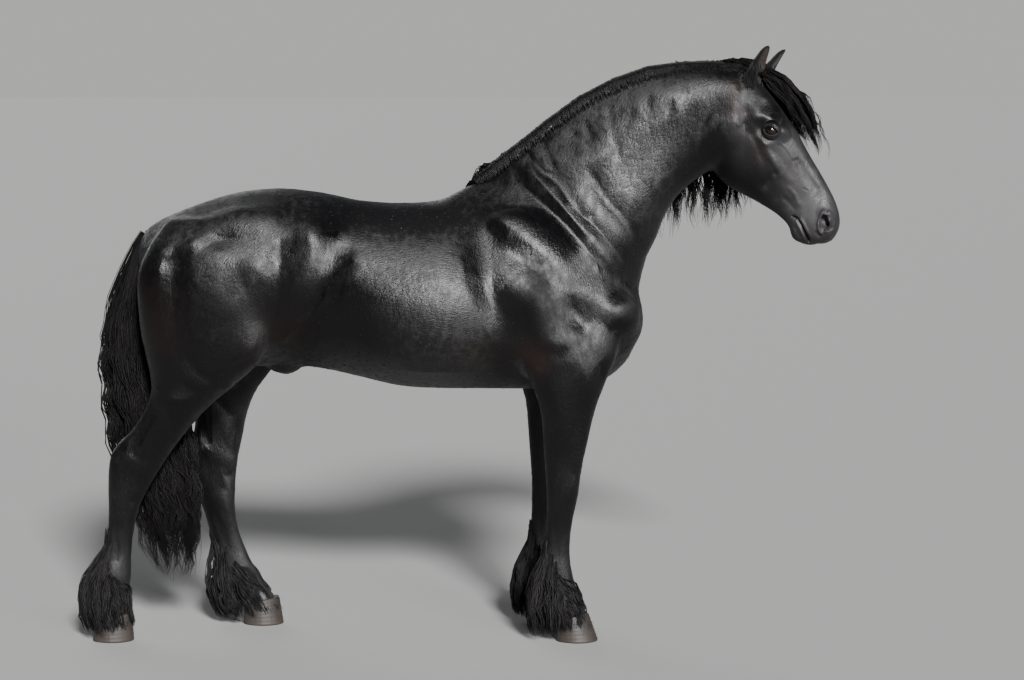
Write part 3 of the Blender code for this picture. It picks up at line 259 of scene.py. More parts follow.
# Folds and veins of the right side, repeated on the left: a line over the side of the body by x
# and z, its half-width and its height. Grooves have a negative height.
FOLDS = [
    ([(0.198, 1.61), (0.295, 1.524), (0.399, 1.433), (0.467, 1.369), (0.548, 1.266), (0.572, 1.238)], 0.026, -0.007),
    ([(0.244, 1.644), (0.313, 1.576), (0.376, 1.507), (0.427, 1.438), (0.473, 1.375), (0.513, 1.329), (0.554, 1.278)],
     0.022, 0.006),
    ([(0.307, 1.627), (0.364, 1.587), (0.41, 1.507), (0.467, 1.461), (0.525, 1.398), (0.571, 1.341), (0.605, 1.301)],
     0.020, -0.0055),
    ([(0.375, 1.553), (0.444, 1.507), (0.507, 1.461), (0.571, 1.392), (0.605, 1.335), (0.628, 1.295)], 0.018, 0.0012),
    ([(0.455, 1.644), (0.49, 1.576), (0.53, 1.518), (0.587, 1.461), (0.628, 1.392)], 0.011, -0.004),
    ([(0.449, 1.804), (0.467, 1.741), (0.478, 1.667)], 0.011, -0.002),
    ([(0.535, 1.861), (0.541, 1.792), (0.57, 1.69), (0.558, 1.644)], 0.011, -0.002),
    ([(0.569, 1.861), (0.586, 1.781), (0.589, 1.713)], 0.010, -0.0015),
    ([(0.66, 1.90), (0.672, 1.827)], 0.016, -0.002),
    ([(0.489, 1.821), (0.501, 1.775)], 0.013, -0.0015),
    ([(0.398, 1.781), (0.421, 1.735)], 0.010, -0.002),
    ([(0.335, 1.724), (0.352, 1.678)], 0.010, -0.002),
    ([(0.301, 1.735), (0.324, 1.678), (0.353, 1.621)], 0.008, -0.004),
    ([(0.244, 1.701), (0.284, 1.644), (0.318, 1.61)], 0.008, -0.004),
    ([(0.849, 1.741), (0.821, 1.69), (0.776, 1.638), (0.73, 1.587)], 0.008, 0.0045),
    ([(0.868, 1.735), (0.838, 1.682), (0.79, 1.628), (0.742, 1.577)], 0.007, -0.003),
    ([(0.701, 1.616), (0.69, 1.536)], 0.010, 0.003),
    ([(-0.965, 1.359), (-0.916, 1.392), (-0.848, 1.423)], 0.005, -0.0022),
    ([(-0.916, 1.417), (-0.851, 1.435)], 0.005, -0.002),
    ([(-0.99, 1.328), (-0.941, 1.359)], 0.005, -0.002),
    ([(-1.023, 1.327), (-0.90, 1.388), (-0.777, 1.456), (-0.715, 1.553)], 0.032, 0.005),
    ([(-1.006, 1.305), (-0.908, 1.335), (-0.822, 1.39), (-0.737, 1.409)], 0.024, -0.005),
    ([(-1.069, 1.359), (-1.001, 1.433), (-0.951, 1.483)], 0.010, 0.003),
    ([(-0.708, 1.362), (-0.672, 1.283), (-0.709, 1.198), (-0.795, 1.119), (-0.833, 1.027), (-0.797, 0.966)],
     0.055, 0.007),
    ([(-0.594, 1.422), (-0.589, 1.27), (-0.596, 1.172), (-0.621, 1.056)], 0.035, -0.008),
    ([(-0.473, 1.464), (-0.491, 1.391), (-0.478, 1.30)], 0.036, 0.005),
    ([(-0.418, 1.246), (-0.449, 1.172), (-0.48, 1.142), (-0.529, 1.111), (-0.56, 1.08), (-0.603, 1.038)],
     0.013, 0.010),
    ([(-0.313, 1.35), (-0.387, 1.271), (-0.429, 1.216)], 0.022, 0.005),
    ([(-0.602, 1.172), (-0.621, 1.074), (-0.639, 1.019), (-0.688, 0.989), (-0.774, 0.946)], 0.014, -0.006),
    ([(-0.798, 0.891), (-0.773, 0.888), (-0.755, 0.91)], 0.006, 0.003),
    ([(-0.917, 1.023), (-0.875, 0.943), (-0.839, 0.924), (-0.802, 0.906)], 0.010, -0.005),
    ([(-1.023, 0.90), (-1.005, 0.863), (-0.974, 0.854), (-0.931, 0.848), (-0.888, 0.854)], 0.005, 0.004),
    ([(-1.015, 0.88), (-0.989, 0.841), (-0.968, 0.789), (-0.962, 0.74)], 0.008, -0.004),
    ([(-0.924, 0.925), (-0.90, 0.888), (-0.863, 0.863)], 0.007, -0.003),
    ([(-0.989, 0.698), (-0.952, 0.713)], 0.006, -0.003),
    ([(-0.995, 0.676), (-0.952, 0.689)], 0.006, -0.003),
    ([(-1.02, 0.83), (-1.05, 0.77), (-1.085, 0.71), (-1.118, 0.65)], 0.014, -0.010),
    ([(-1.143, 0.651), (-1.082, 0.608), (-1.033, 0.577)], 0.020, 0.004),
    ([(-1.095, 0.54), (-1.052, 0.533)], 0.008, -0.004),
    ([(-1.125, 0.495), (-1.09, 0.487)], 0.007, -0.003),
    ([(-1.176, 0.515), (-1.176, 0.495)], 0.011, 0.003),
    ([(-1.166, 0.43), (-1.170, 0.27)], 0.008, -0.004),
    ([(0.23, 1.304), (0.225, 1.23), (0.247, 1.128), (0.247, 1.026)], 0.045, -0.010),
    ([(0.377, 1.215), (0.410, 1.13)], 0.055, -0.005),
    ([(0.293, 1.036), (0.372, 1.041)], 0.017, 0.0045),
    ([(0.29, 1.010), (0.40, 1.016)], 0.014, -0.0035),
    ([(0.383, 1.040), (0.455, 1.013)], 0.030, -0.004),
    ([(0.38, 1.093), (0.46, 1.093)], 0.024, 0.004),
    ([(0.089, 0.971), (0.174, 0.974), (0.242, 1.006)], 0.010, 0.005),
    ([(-0.168, 0.95), (-0.094, 0.939), (0.02, 0.942)], 0.010, 0.004),
    ([(0.528, 1.081), (0.603, 1.098)], 0.006, -0.003),
    ([(0.512, 0.974), (0.509, 0.905)], 0.012, -0.008),
    ([(0.452, 0.967), (0.458, 0.841)], 0.020, 0.004),
    ([(0.352, 0.41), (0.350, 0.28)], 0.008, -0.004),
    ([(0.43, 0.60), (0.40, 0.585)], 0.010, -0.003),
    ([(0.425, 0.49), (0.395, 0.48)], 0.010, -0.003),
    ([(0.345, 0.57), (0.350, 0.49)], 0.010, -0.003),
]
# The same on the sides of the head, by distance down the face and out of it.
HEAD_FOLDS = [
    ([(0.199, -0.027), (0.156, -0.021), (0.116, -0.010)], 0.018, 0.0015),
    ([(0.118, 0.025), (0.140, 0.042)], 0.018, 0.002),
    ([(0.224, -0.038), (0.239, -0.039), (0.252, -0.041), (0.285, -0.044)], 0.007, 0.001),
    ([(0.285, -0.044), (0.330, -0.049), (0.372, -0.052), (0.41, -0.052)], 0.013, 0.003),
    ([(0.284, 0.001), (0.315, 0.013), (0.362, 0.015), (0.42, 0.0)], 0.005, 0.0010),
    ([(0.246, 0.037), (0.266, 0.027), (0.284, 0.020)], 0.009, -0.002),
    ([(0.36, 0.020), (0.38, 0.017)], 0.012, -0.003),
    ([(0.36, -0.068), (0.39, -0.060)], 0.013, -0.004),
    ([(0.193, -0.060), (0.26, -0.066), (0.325, -0.078), (0.38, -0.10), (0.405, -0.14)], 0.016, -0.004),
    ([(0.43, -0.05), (0.47, -0.045), (0.52, -0.05)], 0.010, 0.003),
    ([(0.45, -0.085), (0.49, -0.075), (0.53, -0.070)], 0.012, -0.003),
    ([(0.464, -0.010), (0.486, 0.004)], 0.004, -0.0015),
    ([(0.582, 0.015), (0.600, -0.002), (0.620, -0.002), (0.640, -0.002)], 0.0125, -0.026),
    ([(0.567, 0.024), (0.575, 0.004), (0.589, -0.010), (0.601, -0.023), (0.613, -0.030), (0.627, -0.031),
      (0.641, -0.026)], 0.0065, 0.006),
    ([(0.572, 0.030), (0.592, 0.031), (0.618, 0.028), (0.636, 0.018), (0.650, -0.002), (0.656, -0.020)], 0.007, 0.004),
    ([(0.594, 0.013), (0.606, 0.015), (0.620, 0.016)], 0.007, 0.006),
    ([(0.625, -0.010), (0.643, -0.018)], 0.006, 0.007),
    ([(0.612, -0.044), (0.632, -0.045), (0.650, -0.036)], 0.008, -0.004),
    ([(0.528, -0.094), (0.536, -0.086), (0.548, -0.080), (0.575, -0.079), (0.608, -0.0815), (0.64, -0.087)],
     0.0035, -0.009),
    ([(0.545, -0.090), (0.575, -0.088), (0.608, -0.090), (0.636, -0.094)], 0.006, 0.0035),
    ([(0.545, -0.070), (0.575, -0.068), (0.61, -0.070), (0.645, -0.076)], 0.007, 0.003),
    ([(0.555, -0.104), (0.585, -0.104), (0.615, -0.106)], 0.009, -0.003),
]

def run_of(line):
    """The distance along a line at each of its points."""
    return np.concatenate([[0], np.cumsum(np.linalg.norm(np.diff(line, axis=0), axis=1))])


def along(rows, step, key):
    """Rows read along a smooth curve, one about every `step` metres of the columns in `key`."""
    rows = np.array(rows, float)
    run = run_of(rows[:, key])
    slope = np.gradient(rows, run, axis=0)
    place = np.linspace(0, run[-1], max(2, round(run[-1] / step) + 1))
    i = np.clip(np.searchsorted(run, place, "right") - 1, 0, len(run) - 2)
    h = (run[i + 1] - run[i])[:, None]
    u = (place - run[i])[:, None] / h
    return (
        (1 + 2 * u) * (1 - u) ** 2 * rows[i]
        + u * (1 - u) ** 2 * h * slope[i]
        + u * u * (3 - 2 * u) * rows[i + 1]
        + u * u * (u - 1) * h * slope[i + 1]
    )


def around(points, count):
    """A smooth closed curve through the points."""
    n = len(points)
    place = np.arange(count) * n / count
    i = place.astype(int)
    u = (place - i)[:, None]
    a, b, c, d = (points[(i + k) % n] for k in (-1, 0, 1, 2))
    return 0.5 * (
        2 * b
        + (c - a) * u
        + (2 * a - 5 * b + 4 * c - d) * u * u
        + (3 * b - a - 3 * c + d) * u**3
    )


def section(row, count):
    """A ring from top x and z, bottom x and z, sideways place, half-widths at the levels."""
    top = np.array([row[0], row[4], row[1]])
    bottom = np.array([row[2], row[4], row[3]])
    side = np.array([0.0, 1.0, 0.0])
    left, right = (
        [top + f * (bottom - top) + sign * w * side for f, w in zip(LEVELS, row[5:])] for sign in (1, -1)
    )
    return around(np.array([top, *left, bottom, *right[::-1]]), count)


def linked(name, data):
    """A new object with this data, in the scene."""
    obj = bpy.data.objects.new(name, data)
    bpy.context.scene.collection.objects.link(obj)
    return obj


def clean(mesh, merge=0.0):
    """Joins points that lie closer together than this and turns the faces outward."""
    bm = bmesh.new()
    bm.from_mesh(mesh)
    if merge:
        bmesh.ops.remove_doubles(bm, verts=bm.verts, dist=merge)
    bmesh.ops.recalc_face_normals(bm, faces=bm.faces)
    bm.to_mesh(mesh)
    bm.free()


def new_object(name, verts, faces):
    mesh = bpy.data.meshes.new(name)
    mesh.from_pydata([tuple(v) for v in verts], [], faces)
    clean(mesh)
    return linked(name, mesh)


def through(name, rings, capped=True):
    """A body through rings of equally many points, with a flat face at each end if it is capped."""
    rings = np.array(rings)
    n, m = rings.shape[:2]
    faces = [
        (i * m + j, i * m + (j + 1) % m, (i + 1) * m + (j + 1) % m, (i + 1) * m + j)
        for i in range(n - 1)
        for j in range(m)
    ]
    if capped:
        faces += [tuple(range(m)), tuple((n - 1) * m + j for j in range(m))]
    return new_object(name, rings.reshape(-1, 3), faces)


def in_place(obj):
    """Makes it smooth and takes it from the measured frame to the middle of his length."""
    obj.data.shade_smooth()
    obj.data.transform(Matrix.Translation(MID))
    return obj


def read_at(rows, value):
    """The rows' other columns, each read where the first one, which rises, has this value."""
    rows = np.array(rows)
    return [np.interp(value, rows[:, 0], column) for column in rows.T[1:]]


def loft(name, rows, step=0.02, count=40, turn=None):
    rings = [section(row, count) for row in along(rows, step, [0, 1, 2, 3])]
    if turn is not None:
        rings = [[turn @ Vector(p) for p in ring] for ring in rings]
    return through(name, rings)


def round_section(half_width, fullness=2.3):
    """Half-widths at the levels of a section that is nearly an ellipse."""
    return [half_width * (1 - abs(2 * f - 1) ** fullness) ** (1 / fullness) for f in LEVELS]


def leg(name, rows):
    return loft(name, [(*row[:5], *round_section(row[5])) for row in rows])


def head_frame():
    """Takes (down the face, to the left, out of the face) to the world."""
    axes = Matrix((DOWN_THE_FACE, Vector((0, 1, 0)), OUT_OF_THE_FACE)).transposed()
    return Matrix.Translation(POLL) @ Matrix.Rotation(HEAD_TURN, 4, "Z") @ axes.to_4x4()


def on_head(down, out, side):
    return head_frame() @ Vector((down, side, out))


def ball(name, place, radii, pitch=0):
    bpy.ops.mesh.primitive_uv_sphere_add(segments=32, ring_count=20, location=place)
    obj = bpy.context.object
    obj.name = name
    obj.scale = radii
    obj.rotation_euler = (0, math.radians(pitch), 0)
    return obj


def masses():
    """The lofts and balls that his flesh is built from."""
    found = [
        loft("trunk_mass", [(x, top, x, low, 0, *w) for x, top, low, *w in TRUNK]),
        loft("neck_mass", NECK),
        leg("right_fore_mass", FORE_LEG),
        leg("left_fore_mass", [(a + STEP_BACK, b, c + STEP_BACK, d, -y, w) for a, b, c, d, y, w in FORE_LEG]),
        leg("right_hind_mass", HIND_LEG),
        leg("left_hind_mass", HIND_LEG_FORWARD),
        ball("sheath_mass", *SHEATH),
    ]
    rows = [(a, b, c, d, 0, *w) for a, b, c, d, *w in HEAD]
    found.append(loft("head_mass", rows, step=0.012, turn=head_frame()))
    for (x, y, z), radii, pitch in MASSES:
        for side in (-1, 1):
            found.append(ball("muscle_mass", (x, y * side, z), radii, pitch))
    return found


def evaluated(obj):
    """The object's mesh as its modifiers leave it, in world space."""
    bpy.context.view_layer.update()
    graph = bpy.context.evaluated_depsgraph_get()
    mesh = bpy.data.meshes.new_from_object(obj.evaluated_get(graph))
    mesh.transform(obj.matrix_world)
    return mesh


def settle(obj):
    """Puts the result of its modifiers in the object's own mesh."""
    mesh = evaluated(obj)
    obj.modifiers.clear()
    obj.data = mesh
    obj.matrix_world = Matrix.Identity(4)
    return obj


def grown_together(name, pieces):
    """One skin over the pieces."""
    bm = bmesh.new()
    for obj in pieces:
        mesh = evaluated(obj)
        bm.from_mesh(mesh)
        bpy.data.objects.remove(obj)
    mesh = bpy.data.meshes.new(name)
    bm.to_mesh(mesh)
    bm.free()
    obj = linked(name, mesh)
    skin = obj.modifiers.new("skin", "REMESH")
    skin.mode = "VOXEL"
    skin.voxel_size = GRAIN
    skin.adaptivity = 0
    return settle(obj)


def read(items, key, width=3):
    """One row of values for each point or face of a mesh."""
    flat = np.empty(len(items) * width, np.float32)
    items.foreach_get(key, flat)
    return flat.reshape(-1, width).astype(float)


def points_of(mesh):
    return read(mesh.vertices, "co")


def put_points(mesh, points):
    mesh.vertices.foreach_set("co", points.astype(np.float32).ravel())
    mesh.update()


def smooth(mesh, passes, weight):
    """Evens out the surface without shrinking it, as far as each point's weight allows."""
    ends = np.empty(len(mesh.edges) * 2, np.int32)
    mesh.edges.foreach_get("vertices", ends)
    a, b = ends.reshape(-1, 2).T
    points = points_of(mesh)
    count = np.bincount(ends, minlength=len(points))[:, None]

    def pull():
        total = np.zeros_like(points)
        for k in range(3):
            total[:, k] += np.bincount(a, points[b, k], len(points))
            total[:, k] += np.bincount(b, points[a, k], len(points))
        return (total / count - points) * weight[:, None]

    for _ in range(passes):
        points += 0.6 * pull()
        points -= 0.61 * pull()
    put_points(mesh, points)


def nearest_on(line, points):
    """For each point: its distance to a line of straight runs, the run's number, the share along it."""
    best, number, part = np.full(len(points), np.inf), np.zeros(len(points), int), np.zeros(len(points))
    for k, (a, b) in enumerate(zip(line, line[1:])):
        share = np.clip((points - a) @ (b - a) / ((b - a) @ (b - a)), 0, 1)
        away = np.linalg.norm(points - a - share[:, None] * (b - a), axis=1)
        nearer = away < best
        best[nearer], number[nearer], part[nearer] = away[nearer], k, share[nearer]
    return best, number, part


def mound(points, line, reach):
    """1 on a line of straight runs, falling to 0 at its reach, and lower towards its ends."""
    line = np.array(line)
    if len(line) == 1:
        away = np.linalg.norm(points - line[0], axis=1)
        return np.clip(1 - (away / reach) ** 2, 0, 1) ** 2
    away, number, share = nearest_on(line, points)
    place = (number + share) / (len(line) - 1)
    from_end = np.minimum(place, 1 - place) / max(0.2, 0.7 * reach / run_of(line)[-1])
    return np.clip(1 - (away / reach) ** 2, 0, 1) ** 2 * np.clip(0.2 + from_end, 0, 1)


def hind_shift(z):
    """How far the left hind leg is in front of the right one at this height."""
    right, left = (np.array(rows)[::-1] for rows in (HIND_LEG, HIND_LEG_FORWARD))
    middles = [np.interp(z, (r[:, 1] + r[:, 3]) / 2, (r[:, 0] + r[:, 2]) / 2) for r in (left, right)]
    return middles[0] - middles[1]


def square_stance(points):
    """The points with the left legs moved level with the right ones and put on that side."""
    x, y, z = points.T
    left = y > 0
    hind = np.where(x < -0.45, hind_shift(z) * np.clip((1.25 - z) / 0.2, 0, 1), 0)
    fore = np.where(x > 0.1, STEP_BACK * np.clip((1.1 - z) / 0.2, 0, 1), 0)
    return np.stack([x - left * (hind + fore), -abs(y), z], axis=1)


def in_head(points):
    """Distance down the face, out of it and to the left of the middle of the head."""
    inverse = np.array(head_frame().inverted())
    down, side, out = (points @ inverse[:3, :3].T + inverse[:3, 3]).T
    return down, out, side


def even_out(mesh):
    """Smooths the joins of the masses. The face keeps more of its shape."""
    points = points_of(mesh)
    down, out, _ = in_head(points)
    face = (down > 0.05) & (out > -0.24) & (points[:, 0] > 0.85)
    on_legs = points[:, 2] < 0.75
    smooth(mesh, EVENING, np.where(face, FACE_EVENS, np.where(on_legs, LEGS_EVEN, 1.0)))
    on_trunk = np.clip((points[:, 2] - 0.85) / 0.15, 0, 1) * np.clip((0.75 - points[:, 0]) / 0.2, 0, 1)
    smooth(mesh, TRUNK_EVENING, on_trunk)
    for middle, radius in SOFT_JOINS:
        away = [((points - np.array(middle) * (1, side, 1)) ** 2).sum(1) for side in (1, -1)]
        smooth(mesh, JOIN_EVENING, np.exp(-np.minimum(*away) / radius**2))


def raise_relief(mesh):
    """Muscles, grooves, cheek, nostrils and lips, as soft mounds and hollows."""
    points, normals = points_of(mesh), read(mesh.vertices, "normal")
    down, out, side = in_head(points)
    head = np.stack([down, out, abs(side)], axis=1)
    height = np.zeros(len(points))
    for spots, relief in ((square_stance(points), RELIEF), (head, HEAD_RELIEF)):
        for line, reach, rise in relief:
            height += rise * mound(spots, line, reach)
    put_points(mesh, points + normals * height[:, None])


def crease(points, line, reach):
    """1 on a line drawn over the side of the body, softly down to 0 away from it and at its ends."""
    line = np.array(line)
    height = np.zeros(len(points))
    low, high = line.min(0) - 3 * reach, line.max(0) + 3 * reach
    near = np.flatnonzero(((points > low) & (points < high)).all(1))
    run = run_of(line)
    away, number, share = nearest_on(line, points[near])
    place = run[number] + share * (run[number + 1] - run[number])
    ends = np.clip(np.minimum(place, run[-1] - place) / (1.5 * reach), 0, 1)
    height[near] = np.exp(-((away / reach) ** 2) * 1.4) * ends
    return height


def crest_wrinkles():
    """Short wrinkles that run down from the crest of the neck, seen best at its lower half."""
    rng = np.random.default_rng(7)
    found = []
    for x in np.arange(0.21, 0.80, 0.019):
        top = np.interp(x, [row[0] for row in NECK], [row[1] for row in NECK])
        start = np.array([x, top - rng.uniform(0.045, 0.075)])
        lean = rng.uniform(0.0, 0.35)
        steps = np.linspace(0, rng.uniform(0.05, 0.14), 5)
        bow = rng.normal(0, 0.006, 5)
        line = [(start[0] + lean * s + b, start[1] - s) for s, b in zip(steps, bow)]
        found.append((line, rng.uniform(0.005, 0.009), -rng.uniform(0.0005, 0.0015)))
    return found


def finer(obj, chosen):
    """Cuts each chosen face in four, keeping the surface's curve."""
    obj.data.polygons.foreach_set("select", chosen)
    bpy.context.view_layer.objects.active = obj
    bpy.ops.object.mode_set(mode="EDIT")
    bpy.ops.mesh.select_mode(type="FACE")
    bpy.ops.mesh.subdivide(number_cuts=1, smoothness=1.0, quadcorner="INNERVERT")
    bpy.ops.object.mode_set(mode="OBJECT")


def near_slit(down, out, side):
    """Distance along the lids' slit and across it, and how far outside the slit each point lies."""
    *middle, tilt, half_length, half_height = SLIT
    down, out = down - middle[0], out - middle[1]
    a = down * math.cos(tilt) + out * math.sin(tilt)
    b = out * math.cos(tilt) - down * math.sin(tilt)
    share = np.clip(1 - (a / half_length) ** 2, 0, 1)
    edge = half_height * share**0.62
    away = np.where(share > 0, abs(b) - edge, np.hypot(abs(a) - half_length, b))
    return a, b, edge, np.where(abs(side) > 0.045, away, 1.0)


def open_the_eyes(points):
    """Parts the lids over each eyeball, with a rim, a fold above and wrinkles below."""
    down, out, side = in_head(points)
    _, b, edge, away = near_slit(down, out, side)
    tilt = SLIT[2]
    to_rim = np.where((abs(away) < RIM_REACH) & (edge > 0.001), away, 0.0) * np.sign(b)
    down, out = down + to_rim * math.sin(tilt), out - to_rim * math.cos(tilt)
    a, b, _, away = near_slit(down, out, side)
    off = np.hypot(down - EYE_PLACE[0], out - EYE_PLACE[1]) / EYE_RADIUS
    dome = EYE_PLACE[2] + EYE_RADIUS * np.sqrt(np.clip(1 - (off / DOME_REACH) ** 2, 0.02, 1))
    lid = dome + LID_GAP + LID_THICKNESS * np.clip(away / 0.0022, 0, 1) ** 0.6
    middle = np.exp(-((a / 0.022) ** 2))
    for upper, lower, place, width in LID_FOLDS:
        lid += np.where(b > 0, upper, lower) * middle * np.exp(-(((away - place) / width) ** 2))
    blend = np.clip((away - LID_WIDTH) / LID_BLEND, 0, 1)
    blend = blend * blend * (3 - 2 * blend)
    near = away < ORBIT_REACH
    height = np.where(near, lid * (1 - blend) + abs(side) * blend, abs(side))
    height = np.where(away < -0.0002, EYE_PLACE[2] - 0.004, height)
    side = np.where(near, np.sign(side) * height, side)
    head = np.array(head_frame())
    return np.stack([down, side, out], axis=1) @ head[:3, :3].T + head[:3, 3]


def make_face_finer(obj):
    """Cuts up the faces of the head once, and those round the eyes and the muzzle twice."""
    for closer in (False, True):
        middles = read(obj.data.polygons, "center")
        down, out, side = in_head(middles)
        chosen = (middles[:, 0] > HEAD_FROM) & (down > 0.06) & (out > -0.15)
        if closer:
            eye = np.hypot(down - SLIT[0], out - SLIT[1]) < 0.042
            muzzle = (down > 0.515) & (down < 0.68) & (out > -0.115)
            chosen &= (eye | muzzle) & (abs(side) > 0.015)
        finer(obj, chosen)


def fold(mesh):
    """Draws the folds and veins on both sides, sinks the hide by the coat's depth, parts the lids."""
    points, normals = points_of(mesh), read(mesh.vertices, "normal")
    down, out, side = in_head(points)
    flat_body, flat_head = square_stance(points)[:, [0, 2]], np.stack([down, out], axis=1)
    behind_head = (down < 0.06) | (out < -0.15) | (points[:, 0] < HEAD_FROM)
    to_side = np.clip((abs(normals[:, 1]) - 0.15) / 0.35, 0, 1)
    on_head_side = np.clip((abs(side) - 0.012) / 0.015, 0, 1) * (points[:, 0] > HEAD_FROM)
    on_body, on_face = np.zeros((2, len(points)))
    for line, reach, rise in FOLDS + crest_wrinkles():
        on_body += rise * crease(flat_body, line, reach) * behind_head
    for line, reach, rise in HEAD_FOLDS:
        on_face += rise * crease(flat_head, line, reach)
    height = on_body * to_side + on_face * on_head_side - COAT_DEPTH
    put_points(mesh, open_the_eyes(points + normals * height[:, None]))
    return points


def thin_out(obj, points):
    """Brings the skin down to its number of triangles. The head keeps more of its own."""
    group = obj.vertex_groups.new(name="kept")
    weight = np.where(points[:, 0] > HEAD_FROM, 0.5, 1.0)
    for value in np.unique(weight):
        group.add([int(i) for i in np.flatnonzero(weight == value)], float(value), "REPLACE")
    fewer = obj.modifiers.new("fewer", "DECIMATE")
    fewer.vertex_group = "kept"
    fewer.vertex_group_factor = 0.05
    fewer.ratio = SKIN_TRIANGLES / sum(len(p.vertices) - 2 for p in obj.data.polygons)
    fewer.use_collapse_triangulate = True
    settle(obj)
    obj.vertex_groups.clear()


def whole_skin():
    obj = grown_together("skin", masses())
    even_out(obj.data)
    raise_relief(obj.data)
    rounder = obj.modifiers.new("rounder", "SUBSURF")
    rounder.levels = rounder.render_levels = 1
    settle(obj)
    make_face_finer(obj)
    thin_out(obj, fold(obj.data))
    obj.data.shade_smooth()
    return obj


for stale in [o for o in bpy.data.objects if o.name in ("Cube", "Light", "Camera")]:
    bpy.data.objects.remove(stale)
skin = whole_skin()


def give(tree, target, inputs):
    """Links each input of a node that is given as a socket, and sets the others."""
    for key, value in inputs.items():
        if isinstance(value, bpy.types.NodeSocket):
            tree.links.new(value, target.inputs[key])
        else:
            target.inputs[key].default_value = value


def node(tree, kind, inputs=None, **settings):
    made = tree.nodes.new(f"ShaderNode{kind}")
    for key, value in settings.items():
        setattr(made, key, value)
    give(tree, made, inputs or {})
    return made


def maths(tree, operation, *values):
    return node(tree, "Math", dict(enumerate(values)), operation=operation).outputs[0]


def noise(tree, place, scale, detail, roughness=0.5, turn=0.0, kind="POINT"):
    """Noise at a place that is scaled, and turned about Y by so many degrees."""
    laid = node(tree, "Mapping", {"Vector": place, "Rotation": (0, math.radians(turn), 0), "Scale": scale},
                vector_type=kind)
    inputs = {"Vector": laid.outputs[0], "Scale": 1.0, "Detail": detail, "Roughness": roughness}
    return node(tree, "TexNoise", inputs).outputs[0]


def ranged(tree, value, given=(0.0, 1.0), wanted=(0.0, 1.0)):
    """The value, spread from the given range over the wanted one."""
    inputs = {"Value": value, "From Min": given[0], "From Max": given[1], "To Min": wanted[0], "To Max": wanted[1]}
    return node(tree, "MapRange", inputs).outputs[0]


def tinted(tree, share, low, high):
    """A colour between two others, by a share."""
    low, high = ((*c, 1) if isinstance(c, tuple) else c for c in (low, high))
    return node(tree, "Mix", {0: share, 6: low, 7: high}, data_type="RGBA").outputs[2]


def marked(tree, name, output="Fac"):
    """What the mesh says under this name at each point."""
    return node(tree, "Attribute", attribute_name=name).outputs[output]


def own_place(tree):
    return node(tree, "TexCoord").outputs["Object"]


def bumped(tree, height, strength):
    return node(tree, "Bump", {"Height": height, "Strength": strength, "Distance": 0.003}).outputs[0]


def new_material(name):
    """A material, its tree and its shader."""
    made = bpy.data.materials.new(name)
    made.use_nodes = True
    return made, made.node_tree, made.node_tree.nodes["Principled BSDF"]


def group_with(name, ins, outs):
    """A shader group with float inputs (name: value), colour inputs (name: tuple) and float outputs."""
    tree = bpy.data.node_groups.new(name, "ShaderNodeTree")
    for key, value in ins.items():
        kind = "NodeSocketColor" if isinstance(value, tuple) else "NodeSocketFloat"
        tree.interface.new_socket(key, in_out="INPUT", socket_type=kind).default_value = value
    for key, kind in outs.items():
        tree.interface.new_socket(key, in_out="OUTPUT", socket_type=kind)
    return tree, tree.nodes.new("NodeGroupInput").outputs, tree.nodes.new("NodeGroupOutput")


LIE_TURNS = (-8, -52, -90)  # degrees: hair that lies back, back and down, and down
STEEPER_FROM = ((0.30, 0.55), (0.86, 0.96))  # how steeply it falls where each next turn sets in
STREAK = (1 / 55, 1 / 230, 1 / 230)  # along the hair, and across it


def lying_hair():
    """Short hair lying back along the body and down the legs: its fine streaks and its mottling."""
    tree, given, out = group_with(
        "lying_hair", {"Hair": 1.0, "Mottle": 1.0}, {"Height": "NodeSocketFloat", "Mottle": "NodeSocketFloat"}
    )
    place = own_place(tree)
    streak, *steeper = (noise(tree, place, STREAK, 3.0, 0.6, turn, "TEXTURE") for turn in LIE_TURNS)
    fall = maths(tree, "ABSOLUTE", node(tree, "SeparateXYZ", {0: marked(tree, "lie", "Vector")}).outputs["Z"])
    for other, steepness in zip(steeper, STEEPER_FROM):
        streak = node(tree, "Mix", {0: ranged(tree, fall, steepness), 2: streak, 3: other}).outputs[0]
    mottle = noise(tree, place, (44, 44, 26), 5.0, 0.62)
    parts = maths(tree, "MULTIPLY", streak, given["Hair"]), maths(tree, "MULTIPLY", mottle, given["Mottle"])
    give(tree, out, {"Height": maths(tree, "ADD", *parts), "Mottle": mottle})
    return tree


LYING_HAIR = lying_hair()


# The third colour is a painted lighter grey: a painted highlight and sheen on the face, and a painted highlight with
# dust on the lower legs.
COAT_BLACK, COAT_RUST, COAT_DUST_AND_SHEEN = (0.0016, 0.0015, 0.0018), (0.016, 0.0078, 0.0058), (0.042, 0.040, 0.042)
ROUGH_DULL, ROUGH_SLEEK = 0.68, 0.31
MOTTLED = 0.30  # how much the mottling takes from the shine and adds to it


def hair_group(tree, hair, mottle):
    made = node(tree, "Group", node_tree=LYING_HAIR)
    give(tree, made, {"Hair": hair, "Mottle": mottle})
    return made.outputs


